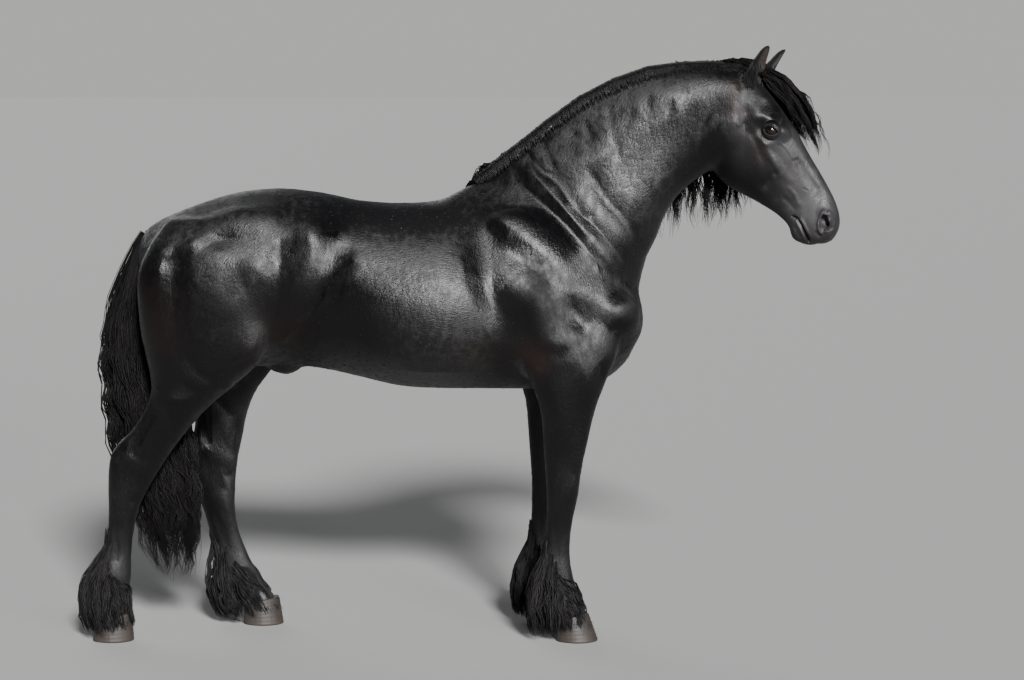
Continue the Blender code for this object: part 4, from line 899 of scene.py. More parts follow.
def coat_material():
    made, tree, shader = new_material("black_coat")
    hair = hair_group(tree, 0.8, 0.55)
    rusty = tinted(tree, marked(tree, "warmth"), COAT_BLACK, COAT_RUST)
    broken = ranged(tree, hair["Mottle"], (0.32, 0.68), (MOTTLED, -MOTTLED))
    shine = maths(tree, "ADD", marked(tree, "sleek"), broken)
    give(tree, shader, {
        # The base colour turns to the painted grey where the mark says so: a painted highlight on the face, and a
        # painted highlight with dust on the lower legs.
        "Base Color": tinted(tree, marked(tree, "dust_and_sheen"), rusty, COAT_DUST_AND_SHEEN),
        "Roughness": ranged(tree, shine, wanted=(ROUGH_DULL, ROUGH_SLEEK)),
        "Tangent": marked(tree, "lie", "Vector"),
        "Normal": bumped(tree, hair["Height"], 0.55),
        "Anisotropic": 0.75,
        "Anisotropic Rotation": 0.25,
        "IOR": 1.33,
        "Sheen Weight": 0.02,
        "Sheen Roughness": 0.45,
        "Sheen Tint": (0.75, 0.78, 0.85, 1),
    })
    return made


# Where the black coat is rusty, and where it is painted a lighter grey: on the face a painted
# highlight and sheen, on the lower legs a painted highlight with dust. Middle, radius and strength,
# on the body by x and z, on the head by distance down the face and out of it.
RUSTY = [((0.27, 0.99), 0.07, 0.4), ((0.08, 1.00), 0.12, 0.2), ((-0.60, 1.05), 0.12, 0.2),
         ((-1.02, 1.12), 0.12, 0.2)]
LEG_DUST_AND_SHEEN = [((-1.20, 0.08), 0.13, 0.5), ((0.40, 0.08), 0.12, 0.4)]
RUSTY_HEAD = [((0.06, -0.055), 0.035, 0.9), ((0.12, -0.075), 0.035, 0.7), ((0.24, -0.065), 0.035, 0.3),
              ((0.30, -0.075), 0.035, 0.3), ((0.43, -0.02), 0.035, 0.6), ((0.62, -0.03), 0.04, 0.3)]
HEAD_PAINTED_SHEEN = [((0.33, 0.01), 0.07, 0.6), ((0.44, 0.0), 0.08, 0.7), ((0.55, -0.01), 0.10, 0.8),
              ((0.10, -0.02), 0.05, 0.3), ((0.20, -0.15), 0.09, 0.25)]


# Where the coat lies sleek (1) and shines, and where it stands a little (0) and is dull: middle and
# reach by x and z, and how sleek it is there.
SLEEK = [
    ((-0.08, 1.15), (0.34, 0.17), 0.9),
    ((-0.37, 1.24), (0.07, 0.12), 0.8),
    ((0.28, 1.36), (0.15, 0.05), 1.0),
    ((0.81, 1.88), (0.17, 0.07), 0.7),
    ((0.64, 1.80), (0.14, 0.09), 0.8),
    ((-0.18, 1.47), (0.42, 0.07), 1.1),
    ((-0.08, 0.92), (0.37, 0.05), 1.0),
    ((-0.98, 1.07), (0.10, 0.20), 1.0),
    ((0.29, 1.18), (0.06, 0.14), 0.0),
    ((-0.51, 1.07), (0.07, 0.17), 0.1),
    ((0.83, 1.62), (0.13, 0.12), 0.6),
    ((0.36, 1.09), (0.06, 0.07), 0.3),
    ((0.50, 1.02), (0.07, 0.05), 0.35),
    ((0.40, 0.78), (0.09, 0.20), 0.35),
    ((0.38, 0.40), (0.06, 0.16), 0.45),
    ((0.60, 1.10), (0.06, 0.12), 0.40),
    ((-0.76, 1.16), (0.14, 0.12), 0.35),
    ((-0.90, 0.85), (0.12, 0.14), 0.35),
    ((-1.14, 0.38), (0.07, 0.20), 0.50),
]
SLEEK_ELSEWHERE = 0.75
# The same on the head, by distance down the face and out of it.
SLEEK_HEAD = [
    ((0.12, -0.01), (0.07, 0.06), 0.35),
    ((0.20, -0.15), (0.11, 0.09), 0.30),
    ((0.33, -0.12), (0.08, 0.05), 0.30),
    ((0.40, -0.02), (0.14, 0.05), 0.45),
]
# The lie of the coat at places on the body, by x and z: the way the hair points, also by x and z.
LIE = [
    ((-0.95, 1.45), (-0.7, -0.7)), ((-0.60, 1.50), (-0.9, -0.4)), ((-0.75, 1.20), (-0.5, -0.85)),
    ((-0.10, 1.48), (-0.95, -0.3)), ((-0.10, 1.15), (-1.0, -0.08)), ((-0.10, 0.90), (-1.0, 0.1)),
    ((-0.50, 1.05), (-0.5, -0.85)), ((0.20, 1.45), (-0.7, -0.7)), ((0.35, 1.15), (-0.3, -0.95)),
    ((0.60, 1.15), (0.2, -1.0)), ((0.45, 1.65), (-0.6, -0.8)), ((0.80, 1.85), (-0.75, -0.65)),
    ((0.75, 1.60), (-0.5, -0.85)), ((0.40, 0.70), (-0.05, -1.0)), ((-0.95, 0.75), (-0.3, -0.95)),
    ((-1.15, 0.30), (0.0, -1.0)), ((0.36, 0.30), (0.0, -1.0)), ((0.97, 1.75), (-0.4, -0.9)),
    ((1.05, 1.88), (-0.2, -1.0)), ((1.14, 1.70), (0.35, -0.95)), ((1.25, 1.50), (0.5, -0.87)),
]
LIE_REACH = 0.16


def spread_of(spots, points):
    total = np.zeros(len(points))
    for middle, radius, strength in spots:
        away = ((points - np.array(middle)) ** 2).sum(1) / radius**2
        total = np.maximum(total, strength * np.exp(-away))
    return total


def sleekness(spots, points):
    total = np.full(len(points), SLEEK_ELSEWHERE)
    for middle, reach, strength in spots:
        away = (((points - np.array(middle)) / np.array(reach)) ** 2).sum(1)
        total += (strength - SLEEK_ELSEWHERE) * np.exp(-(away**1.5))
    return np.clip(total, -0.2, 1.1)


def share_of_head(points):
    """1 on the head, softly down to 0 on the neck."""
    down, out, _ = in_head(points)
    off_neck = np.clip((points[:, 0] + 0.35 * out - 0.87) / 0.09, 0, 1)
    return off_neck * off_neck * (3 - 2 * off_neck) * np.clip((down + 0.06) / 0.08, 0, 1)


def lie_of_coat(points):
    """The way the short hair lies at each point, from the places in LIE."""
    ways = np.zeros_like(points)
    for place, (x, z) in LIE:
        weight = np.exp(-((points[:, [0, 2]] - np.array(place)) ** 2).sum(1) / LIE_REACH**2) + 1e-9
        ways += weight[:, None] * np.array([x, 0.0, z])
    return ways / np.linalg.norm(ways, axis=1, keepdims=True)


def keep(mesh, name, values):
    """Keeps a value for each point in the mesh, for its material."""
    values = np.array(values, np.float32)
    kind, field = (("FLOAT", "value"), ("FLOAT_VECTOR", "vector"))[values.ndim - 1]
    mesh.attributes.new(name, kind, "POINT").data.foreach_set(field, values.ravel())


def mark(mesh, points):
    """Writes how rusty and sleek the coat is at each point, where a painted highlight (with dust on the lower legs)
    greys it, and the way it lies.
    """
    body = square_stance(points)[:, [0, 2]]
    down, out, _ = in_head(points)
    head = np.stack([down, out], axis=1)
    headness = share_of_head(points)
    for name, found, on_body, on_head in (
        ("warmth", spread_of, RUSTY, RUSTY_HEAD), ("dust_and_sheen", spread_of, LEG_DUST_AND_SHEEN, HEAD_PAINTED_SHEEN),
        ("sleek", sleekness, SLEEK, SLEEK_HEAD),
    ):
        keep(mesh, name, found(on_body, body) * (1 - headness) + found(on_head, head) * headness)
    keep(mesh, "lie", lie_of_coat(points))


BLACK_COAT = coat_material()
mark(skin.data, points_of(skin.data))
skin.data.materials.append(BLACK_COAT)
skin.data.transform(Matrix.Translation(MID))
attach(skin, "root")
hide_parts("head", "neck", "trunk", *[
    f"{side}_{part}" for side in ("right", "left") for part in ("forearm", "fore_cannon", "thigh", "hind_cannon")
])

# --- The eyes ---------------------------------------------------------------------------------
# Two large dark glass eyes, set under the lids with a clear bulging cornea over a brown iris and
# a pupil that lies level. They are cemented in the head behind the slit of the lids.
PUPIL_LONG, PUPIL_HIGH, IRIS = 0.0085, 0.0042, 0.0150
CORNEA_RISE = 0.0014
EYE_RINGS, EYE_SPOKES = 28, 40
BEHIND = 9.0  # how much farther from the pupil the back of the eye is counted, so that it is white


def glass_eye(name, side):
    middle = on_head(*EYE_PLACE[:2], EYE_PLACE[2] * side)
    outward = (on_head(0, 0, side) - on_head(0, 0, 0)).normalized()
    level = Vector((outward.y, -outward.x, 0.0)).normalized()
    high = outward.cross(level)
    rings, longs, highs = [], [], []
    for polar in (math.pi * i / EYE_RINGS for i in range(EYE_RINGS + 1)):
        reach, rise = EYE_RADIUS * math.sin(polar), EYE_RADIUS * math.cos(polar)
        in_front = polar < math.pi / 2
        if in_front:
            rise += CORNEA_RISE * max(0.0, 1 - (reach / (IRIS * 1.08)) ** 2)
        turns = [2 * math.pi * k / EYE_SPOKES for k in range(EYE_SPOKES)]
        spots = [(reach * math.cos(turn), reach * math.sin(turn)) for turn in turns]
        rings.append([middle + outward * rise + level * a + high * b for a, b in spots])
        longs += [a * (1.0 if in_front else BEHIND) for a, _ in spots]
        highs += [b * (1.0 if in_front else BEHIND) for _, b in spots]
    obj = through(name, rings, capped=False)
    keep(obj.data, "eye_long", longs)
    keep(obj.data, "eye_high", highs)
    clean(obj.data, 1e-5)
    return in_place(obj)


def eye_material():
    made, tree, shader = new_material("glass_eye")
    level, high = marked(tree, "eye_long"), marked(tree, "eye_high")

    def far(long_size, high_size):
        """Distance from the middle of the eye, for 1 on an ellipse of this size."""
        a, b = maths(tree, "MULTIPLY", level, 1 / long_size), maths(tree, "MULTIPLY", high, 1 / high_size)
        both = node(tree, "CombineXYZ", {"X": a, "Y": b}).outputs[0]
        return node(tree, "VectorMath", {0: both}, operation="LENGTH").outputs["Value"]

    spokes = node(tree, "CombineXYZ", {"X": maths(tree, "ARCTAN2", high, level), "Y": far(IRIS, IRIS)})
    fibres = noise(tree, spokes.outputs[0], (14, 2.5, 1), 3.0)
    iris = tinted(tree, fibres, (0.0022, 0.0012, 0.0009), (0.0110, 0.0052, 0.0030))
    off_pupil = ranged(tree, far(PUPIL_LONG, PUPIL_HIGH), (0.9, 1.15))
    inner = tinted(tree, off_pupil, (0.0015, 0.002, 0.0035), iris)
    off_iris = ranged(tree, far(IRIS, IRIS), (0.86, 1.02))
    give(tree, shader, {
        "Base Color": tinted(tree, off_iris, inner, (0.014, 0.009, 0.008)),
        "Roughness": 0.05,
        "IOR": 1.36,
        "Coat Weight": 0.35,
        "Coat Roughness": 0.02,
    })
    return made


GLASS_EYE = eye_material()
for side, word in ((-1, "right"), (1, "left")):
    eye = glass_eye(f"{word}_glass_eye", side)
    eye.data.materials.append(GLASS_EYE)
    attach(eye, "root")
    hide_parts(f"{word}_eye")

# --- The ears ---------------------------------------------------------------------------------
# Two pricked ears of thin gristle under the hide, each a tube at its root that opens forward and
# outward and closes again to a point. They grow from the poll, and their bare inside is browner.
EAR_ROOTS = {-1: (0.076, 0.012, 0.046), 1: (0.101, 0.005, 0.045)}  # down the face, out, to the side
EAR_TIPS = {-1: (-0.018, 0.132, 0.066), 1: (0.007, 0.152, 0.085)}
EAR_OUTWARD = 0.20  # how much the opening faces outward, for 1 forward
EAR_BOW = 0.006
EAR_WALL = 0.0028
EAR_RINGS, EAR_ARC = 30, 22
# Ear: share of its length, radius of the cup, half of the angle that its wall goes round.
EAR = [
    (0.0, 0.0150, 150), (0.14, 0.0215, 140), (0.28, 0.0275, 124), (0.42, 0.0305, 113), (0.6, 0.0290, 106),
    (0.75, 0.0240, 104), (0.87, 0.0190, 104), (0.95, 0.0125, 106), (0.985, 0.0078, 106), (1.0, 0.0030, 106),
]


def ear_axes(side):
    """Root, and the vectors up the whole ear, across it and out of its opening."""
    root, tip = (on_head(down, out, across * side) for down, out, across in (EAR_ROOTS[side], EAR_TIPS[side]))
    length = tip - root
    up = length.normalized()
    outward = on_head(0, 0, side) - on_head(0, 0, 0)
    opening = outward.cross(up).normalized() * side + outward * EAR_OUTWARD
    opening = (opening - up * opening.dot(up)).normalized()
    return root, length, up.cross(opening), opening


def ear_wall(side, share, angle, inside=0.0):
    """A point of the ear's wall: share of its length, angle round the cup, depth below the outside."""
    root, length, across, opening = ear_axes(side)
    radius = float(read_at(EAR, share)[0])
    curl = 0.0022 * math.sin(3 * angle + 9 * share) * share * (1 - share)
    middle = root + length * share - opening * EAR_BOW * math.sin(math.pi * share)
    reach = radius - inside + curl
    return middle + across * (reach * math.sin(angle)) - opening * (reach * math.cos(angle) * 0.9)


def ear_mesh(name, side):
    rings = []
    for share in ((i / (EAR_RINGS - 1)) ** 0.9 for i in range(EAR_RINGS)):
        radius, half = (float(value) for value in read_at(EAR, share))
        half = math.radians(half)
        wall = min(EAR_WALL, 0.6 * radius)
        angles = np.linspace(-half, half, EAR_ARC)
        outer = [ear_wall(side, share, a) for a in angles]
        inner = [ear_wall(side, share, a * 0.985, wall * (1 - 0.45 * abs(a / half) ** 6)) for a in angles[::-1]]
        rings.append(outer + inner)
    obj = through(name, rings)
    keep(obj.data, "inside", np.tile(np.repeat([0.0, 1.0], EAR_ARC), EAR_RINGS))
    return in_place(obj)


def ear_material():
    made, tree, shader = new_material("ear_hide")
    hair = hair_group(tree, 0.8, 0.4)
    bare = ranged(tree, maths(tree, "MULTIPLY", marked(tree, "inside"), hair["Mottle"]), (0.0, 0.6))
    give(tree, shader, {
        "Base Color": tinted(tree, bare, (0.0030, 0.0028, 0.0031), (0.042, 0.030, 0.025)),
        "Normal": bumped(tree, hair["Height"], 0.5),
        "Roughness": 0.62,
        "IOR": 1.32,
        "Sheen Weight": 0.02,
    })
    return made


EAR_HIDE = ear_material()
for side, word in ((-1, "right"), (1, "left")):
    ear = ear_mesh(f"{word}_ear_cup", side)
    ear.data.materials.append(EAR_HIDE)
    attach(ear, "root")
    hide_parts(f"{word}_ear")

# --- The hooves -------------------------------------------------------------------------------
# Four unshod hooves of brown-grey horn, ringed by their growth and streaked from coronet to
# ground, a little worn round the rim. Each grows from the coronet and stands flat on its sole.
HOOVES = {
    "right_fore": ((0.425, -0.166), 0.150, 0.138, FORE_LEG[-1], 0.0),
    "left_fore": ((0.425, 0.166), 0.150, 0.138, FORE_LEG[-1], STEP_BACK),
    "right_hind": ((-1.187, -0.162), 0.148, 0.130, HIND_LEG[-1], 0.0),
    "left_hind": ((-0.692, 0.162), 0.148, 0.130, HIND_LEG_FORWARD[-1], 0.0),
}
HOOF_HEIGHT = 0.088
HOOF_SPOKES, HOOF_RINGS, CHIPS = 72, 34, 18
CHIP_DEPTH = 0.0016
GROWTH_RINGS, RING_DEPTH = 7, 0.0003


def horn_hoof(name, sole, length, width, coronet, shift, seed):
    rng = np.random.default_rng(seed)
    x, y = sole
    front, rear = coronet[0] + 0.008 + shift, coronet[2] - 0.004 + shift
    deep = rng.uniform(0, CHIP_DEPTH, CHIPS)
    round_sole = np.arange(HOOF_SPOKES) / HOOF_SPOKES
    chips = np.interp(round_sole, np.linspace(0, 1, CHIPS + 1), np.append(deep, deep[0]))
    rings = []
    shares = [0.0, 0.0, 0.0, 0.02, *np.linspace(0.06, 1.0, HOOF_RINGS)]
    insets = [0.030, 0.012, 0.0045, 0.0012, *([0.0] * HOOF_RINGS)]
    for share, bevel in zip(shares, insets):
        middle = (x + shift) * (1 - share) + (front + rear) / 2 * share
        wave = RING_DEPTH * math.sin(2 * math.pi * GROWTH_RINGS * share**1.15) - (0.0022 if share > 0.93 else 0.0)
        half = length / 2 * (1 - share) + (front - rear) / 2 * share - bevel + wave
        across = width / 2 * (1 - share) + (coronet[5] + 0.010) * share - bevel + wave
        ring = []
        for k in range(HOOF_SPOKES):
            turn = 2 * math.pi * k / HOOF_SPOKES
            heel = 1 - 0.12 * max(0.0, -math.cos(turn))
            cleft = 1 - 0.16 * math.exp(-(((math.pi - turn) / 0.28) ** 2)) * (share > 0)
            tilt = 0.012 * share * math.cos(turn)
            worn = chips[k] * (share < 0.05)
            ring.append((
                middle + (half * cleft - worn) * math.cos(turn),
                y + (across * heel - worn) * math.sin(turn),
                HOOF_HEIGHT * share + tilt,
            ))
        rings.append(ring)
    obj = in_place(through(name, rings))
    obj.data.set_sharp_from_angle(angle=math.radians(45))
    return obj


def horn_material():
    made, tree, shader = new_material("hoof_horn")
    place = own_place(tree)
    bands = noise(tree, place, (26, 26, 44), 3.0)
    tone = maths(tree, "MULTIPLY", noise(tree, place, (90, 90, 6), 4.0), bands)
    horn = tinted(tree, ranged(tree, tone, (0.10, 0.50)), (0.013, 0.0105, 0.009), (0.030, 0.0235, 0.020))
    height = node(tree, "SeparateXYZ", {0: place}).outputs["Z"]
    dusty = ranged(tree, height, (0.0, 0.060), (0.75, 0.0))
    give(tree, shader, {
        "Base Color": tinted(tree, dusty, horn, (0.036, 0.027, 0.022)),
        "Roughness": ranged(tree, bands, wanted=(0.5, 0.75)),
        "Normal": bumped(tree, tone, 0.7),
    })
    return made


HORN = horn_material()
for seed, (name, sizes) in enumerate(HOOVES.items()):
    hoof = horn_hoof(f"{name}_horn", *sizes, seed)
    hoof.data.materials.append(HORN)
    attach(hoof, "root")
    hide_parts(f"{name}_hoof")

# --- The tail ---------------------------------------------------------------------------------
# Long waved hair that grows round the dock and falls past the hocks to a hand above the ground,
# gathered in locks that part towards their ends. It hangs free from its roots.
STRAND_RADIUS = 0.0018
FRIZZ = 0.0010
PATCH = 0.003  # the size of a strand's place on the hide's unwrap


def hide_unwrap(roots):
    """Places on an unwrap of the hide: round the trunk, neck and head above, round each leg below."""
    spine = np.array([(-1.2, 1.20), (-0.6, 1.25), (0.1, 1.22), (0.55, 1.50), (0.98, 1.84), (1.32, 1.35)])
    run, ways = run_of(spine), np.diff(spine, axis=0)
    x, y, z = roots.T
    flat = roots[:, [0, 2]]
    _, number, share = nearest_on(spine, flat)
    way = ways[number]
    off = flat - spine[number] - share[:, None] * way
    up = (off[:, 1] * way[:, 0] - off[:, 0] * way[:, 1]) / np.linalg.norm(way, axis=1)
    u = (run[number] + share * (run[number + 1] - run[number])) / run[-1]
    v = 0.25 + np.arctan2(y, up) / (4 * math.pi) * 0.96
    leg = (z < 0.85) & (x > -1.3)
    along_body = square_stance(roots)[:, 0]
    hind = along_body < -0.3
    middle = np.where(hind, np.interp(z, (0, 0.5, 0.85), (-1.19, -1.14, -0.95)), np.interp(z, (0, 0.85), (0.38, 0.39)))
    turn = np.arctan2(abs(y) - 0.165, along_body - middle) / (2 * math.pi)
    leg_u = (2 * hind + (y > 0) + 0.5 + 0.45 * turn * 2) / 4
    return np.stack([np.where(leg, leg_u, u), np.where(leg, 0.53 + 0.45 * z / 0.85, v)], axis=1)


def hair_mesh(name, paths, thickness, roots=None):
    """One mesh of closed three-sided strands along the paths (strand, point, xyz)."""
    count, steps = paths.shape[:2]
    roots = paths[:, 0] if roots is None else roots
    run = np.gradient(paths, axis=1)
    run /= np.linalg.norm(run, axis=2, keepdims=True) + 1e-12
    across = np.cross(run, np.array([0.8, 0.6, 0.02]))
    across /= np.linalg.norm(across, axis=2, keepdims=True) + 1e-9
    other = np.cross(run, across)
    turns = 2 * math.pi * np.arange(3) / 3
    rings = paths[:, :, None] + thickness[:, :, None, None] * (
        np.cos(turns)[:, None] * across[:, :, None] + np.sin(turns)[:, None] * other[:, :, None]
    )
    start = (np.arange(count) * steps * 3)[:, None, None]
    ring = (np.arange(steps - 1) * 3)[None, :, None]
    j, after = np.arange(3)[None, None], (np.arange(3)[None, None] + 1) % 3
    quads = np.stack([start + ring + j, start + ring + after, start + ring + 3 + after, start + ring + 3 + j], -1)
    caps = np.concatenate([start + np.array([[[2, 1, 0]]]), start + (steps - 1) * 3 + np.array([[[0, 1, 2]]])], 1)
    quads, caps = quads.reshape(-1, 4), caps.reshape(-1, 3)
    mesh = bpy.data.meshes.new(name)
    mesh.vertices.add(count * steps * 3)
    mesh.vertices.foreach_set("co", (rings + np.array(MID)).astype(np.float32).ravel())
    corners = np.concatenate([quads.ravel(), caps.ravel()]).astype(np.int32)
    mesh.loops.add(len(corners))
    mesh.loops.foreach_set("vertex_index", corners)
    mesh.polygons.add(len(quads) + len(caps))
    firsts = np.concatenate([np.arange(len(quads)) * 4, len(quads) * 4 + np.arange(len(caps)) * 3])
    mesh.polygons.foreach_set("loop_start", firsts.astype(np.int32))
    mesh.update(calc_edges=True)
    mesh.validate()
    place = hide_unwrap(roots)[corners // (steps * 3)]
    step = (corners // 3) % steps / (steps - 1)
    patch = place + PATCH * (np.stack([step, (corners % 3) / 2], axis=1) - 0.5)
    mesh.uv_layers.new(name="OFBake").data.foreach_set("uv", np.clip(patch, 0, 1).astype(np.float32).ravel())
    mesh.shade_smooth()
    return linked(name, mesh)


def grow_locks(rng, guides, across, per_lock, steps, root, body, wave, wavelength, ragged=0.72, clump=0.35):
    """Strands of so many steps round each guide (lock, point, xyz). Locks wave, narrow and fray.

    `root` is how far the roots spread across the lock and through it, `body` how far its middle does.
    """
    locks, points = guides.shape[:2]
    lengths = np.linalg.norm(np.diff(guides, axis=1), axis=2).sum(1)
    u = np.linspace(0, 1, steps)
    cut = rng.uniform(ragged, 1.0, (locks, per_lock)) ** 0.8
    place = cut[:, :, None] * u * (points - 1)
    low = np.clip(place.astype(int), 0, points - 2)
    part = (place - low)[..., None]
    index = np.arange(locks)[:, None, None]
    base = guides[index, low] * (1 - part) + guides[index, low + 1] * part
    run = guides[index, low + 1] - guides[index, low]
    run /= np.linalg.norm(run, axis=-1, keepdims=True) + 1e-9
    side = across[:, None, None] - (run * across[:, None, None]).sum(-1, keepdims=True) * run
    side /= np.linalg.norm(side, axis=-1, keepdims=True) + 1e-9
    other = np.cross(run, side)
    reach = np.sqrt(rng.uniform(0, 1, (locks, per_lock)))
    turn = rng.uniform(0, 2 * math.pi, (locks, per_lock))
    gathered = np.clip(u / 0.3, 0, 1)
    narrowing = 1 - (1 - clump) * np.clip((u - 0.35) / 0.65, 0, 1)
    a = (reach * np.cos(turn))[..., None] * (root[0] + (body - root[0]) * gathered) * narrowing
    b = (reach * np.sin(turn))[..., None] * (root[1] + (0.6 * body - root[1]) * gathered) * narrowing
    scale = wavelength * rng.uniform(0.8, 1.3, locks)
    phase = rng.uniform(0, 2 * math.pi, locks)[:, None, None] + rng.normal(0, 0.30, (locks, per_lock, 1))
    beat = 2 * math.pi * (place / (points - 1) * lengths[:, None, None]) / scale[:, None, None] + phase
    swing = wave * rng.uniform(0.5, 1.4, locks)[:, None, None] * np.clip((u - 0.10) * 3, 0, 1)
    a = a + swing * np.sin(beat) + FRIZZ * np.sin(beat * 2.7 + 9 * reach[..., None]) * u
    b = b + 0.55 * swing * np.cos(beat * 1.13)
    paths = base + a[..., None] * side + b[..., None] * other
    return paths.reshape(-1, steps, 3)


def strand_thickness(rng, paths, radius=STRAND_RADIUS):
    u = np.linspace(0, 1, paths.shape[1])
    shape = np.clip(0.55 + 1.8 * u, 0, 1) * (1 - u**5) + 0.12
    return radius * rng.uniform(0.7, 1.25, (len(paths), 1)) * shape


def with_wisps(rng, guides, across, locks, wisps, count, push):
    """Locks round the guides, and a few thin ones that stand off the others, most at their ends."""
    paths = grow_locks(rng, guides, across, **locks)
    chosen = guides[rng.choice(len(guides), count, replace=False)].copy()
    u = np.linspace(0, 1, guides.shape[1])[None, :, None]
    thin = chosen + u**2 * (rng.normal(0, 1, (count, 1, 3)) * np.array(push))
    return np.concatenate([paths, grow_locks(rng, thin, across[:count], **wisps)])


def hair_material(name, dark, light):
    made, tree, shader = new_material(name)
    waves = noise(tree, own_place(tree), (55, 55, 9), 3.0)
    give(tree, shader, {
        "Base Color": tinted(tree, ranged(tree, waves, (0.35, 0.75)), dark, light),
        "Roughness": ranged(tree, waves, wanted=(0.54, 0.72)),
        "IOR": 1.33,
        "Specular IOR Level": 0.30,
    })
    return made


LONG_HAIR = hair_material("long_black_hair", (0.0018, 0.0016, 0.0018), (0.007, 0.0054, 0.0050))


def hang(obj, *nodes, material=LONG_HAIR):
    """Makes a piece of hair part of the model, in place of these solids."""
    obj.data.materials.append(material)
    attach(obj, "root")
    if nodes:
        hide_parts(*nodes)


# Tail: height, rear x, front x, sideways middle, half-width.
TAIL = [
    (1.418, -1.096, -1.020, 0.0, 0.030),
    (1.36, -1.132, -1.035, 0.0, 0.046),
    (1.25, -1.170, -1.050, 0.004, 0.058),
    (1.12, -1.212, -1.055, 0.008, 0.070),
    (0.98, -1.232, -1.045, 0.010, 0.080),
    (0.84, -1.222, -0.985, 0.010, 0.084),
    (0.70, -1.212, -0.918, 0.008, 0.082),
    (0.56, -1.190, -0.890, 0.006, 0.076),
    (0.44, -1.140, -0.875, 0.004, 0.068),
    (0.32, -1.100, -0.895, 0.0, 0.054),
    (0.22, -1.060, -0.915, 0.0, 0.036),
    (0.17, -1.030, -0.950, 0.0, 0.016),
]


def tail_locks(rng, count, points=40):
    guides = []
    for _ in range(count):
        turn = rng.uniform(0, 2 * math.pi)
        reach = 0.25 + 0.68 * math.sqrt(rng.uniform())
        start = rng.uniform(0.0, 0.30) ** 1.3
        low = 0.175 + 0.34 * rng.uniform() ** 2.2 + 0.08 * (1 - reach)
        z = np.linspace(1.415 - start, low, points)
        rear, front, side, half = read_at(TAIL[::-1], z)
        out = reach * np.clip((np.linspace(0, 1, points) + 0.10) / 0.25, 0, 1)
        drift = 0.012 * np.sin(z * rng.uniform(5, 9) + rng.uniform(0, 6))
        x = (rear + front) / 2 + (front - rear) / 2 * out * math.cos(turn) + drift
        y = side + half * out * math.sin(turn) + 0.6 * drift
        guides.append(np.stack([x, y, z], axis=1))
    return np.array(guides)


TAIL_LOCKS = dict(per_lock=20, steps=26, root=(0.012, 0.008), body=0.028, wave=0.010, wavelength=0.145,
                  ragged=0.84, clump=0.4)
TAIL_WISPS = dict(per_lock=5, steps=26, root=(0.008, 0.006), body=0.012, wave=0.014, wavelength=0.12,
                  ragged=0.8, clump=0.8)
rng = np.random.default_rng(11)
for name in ("tail_outer", "tail_inner"):
    guides = tail_locks(rng, 46)
    ways = np.tile([1.0, 0.25, 0.0], (len(guides), 1))
    paths = with_wisps(rng, guides, ways, TAIL_LOCKS, TAIL_WISPS, 16, (0.03, 0.02, 0.0))
    hang(hair_mesh(name, paths, strand_thickness(rng, paths)), "tail")

# --- The mane ---------------------------------------------------------------------------------
# Long waved hair that grows from the crest, laid over to the left side of the neck, where it hangs
# in locks past the throat. On the right only its roots show, as short hair that arches over the crest.
# Mane, from withers to poll: crest x and z, how far the hem hangs below the crest, how far out
# to the left the hair lies.
MANE = [
    (0.085, 1.596, 0.08, 0.035),
    (0.15, 1.660, 0.27, 0.105),
    (0.24, 1.728, 0.40, 0.150),
    (0.34, 1.808, 0.50, 0.172),
    (0.45, 1.888, 0.56, 0.168),
    (0.57, 1.950, 0.60, 0.156),
    (0.69, 1.992, 0.615, 0.148),
    (0.80, 2.006, 0.60, 0.142),
    (0.90, 2.010, 0.585, 0.138),
    (0.97, 2.004, 0.56, 0.130),
    (1.02, 1.990, 0.46, 0.110),
]
# Across the hair from its root: share of its reach to the left and of its drop, outside and inside.
MANE_OUTSIDE = [(-0.08, 0.022), (0.0, 0.014), (0.12, 0.014), (0.36, 0.050), (0.62, 0.16), (0.92, 0.40), (0.98, 0.70),
                (0.94, 1.0)]
MANE_INSIDE = [(-0.06, 0.030), (0.0, 0.024), (0.10, 0.028), (0.22, 0.080), (0.42, 0.22), (0.66, 0.50), (0.80, 0.76),
               (0.80, 0.98)]
# The short hair that arches over the crest, from right to left: place sideways and below the crest.
CREST = [(-0.038, 0.058), (-0.036, 0.043), (-0.032, 0.028), (-0.022, 0.011), (0.0, 0.003), (0.026, 0.012),
         (0.050, 0.036), (0.066, 0.070)]


def at_share(rows, share):
    """The rows' columns, each read at a share of the way from the first row to the last."""
    return [np.interp(share, np.linspace(0, 1, len(rows)), column) for column in np.array(rows).T]


def mane_locks(rng, low, high, count, points=44):
    guides, crest = [], []
    u = np.linspace(0, 1, points)
    for place in np.sort(rng.uniform(low, high, count)):
        (x, z, drop, out), (x_on, z_on, *_) = at_share(MANE, place), at_share(MANE, place + 0.02)
        crest.append((x_on - x, 0.0, z_on - z) if x_on > x else (1.0, 0.0, 0.0))
        depth = rng.uniform() ** 0.8
        curve = np.array(MANE_OUTSIDE) * (1 - depth) + np.array(MANE_INSIDE) * depth
        knots = np.linspace(0, 1, len(curve)) ** 1.15
        reach = rng.uniform(0.88, 1.05)
        y = np.interp(u, knots, curve[:, 0]) * out
        fall = np.interp(u, knots, curve[:, 1]) * drop * reach
        slant = rng.normal(0.0, 0.025) * u + 0.012 * np.sin(4 * u + rng.uniform(0, 6)) * u
        guides.append(np.stack([x + slant, y, z - fall], axis=1))
    return np.array(guides), np.array(crest)


def clear_of(solid, guides, gap):
    """Moves points of the guides that lie in the solid, or too near it, out to a gap from it."""
    flat = guides.reshape(-1, 3).copy()
    for i, point in enumerate(flat):
        spot, normal, _, _ = solid.find_nearest(Vector(point) + MID)
        off = Vector(point) + MID - spot
        if off.dot(normal) < gap:
            flat[i] = spot + normal * gap - MID
    return flat.reshape(guides.shape)


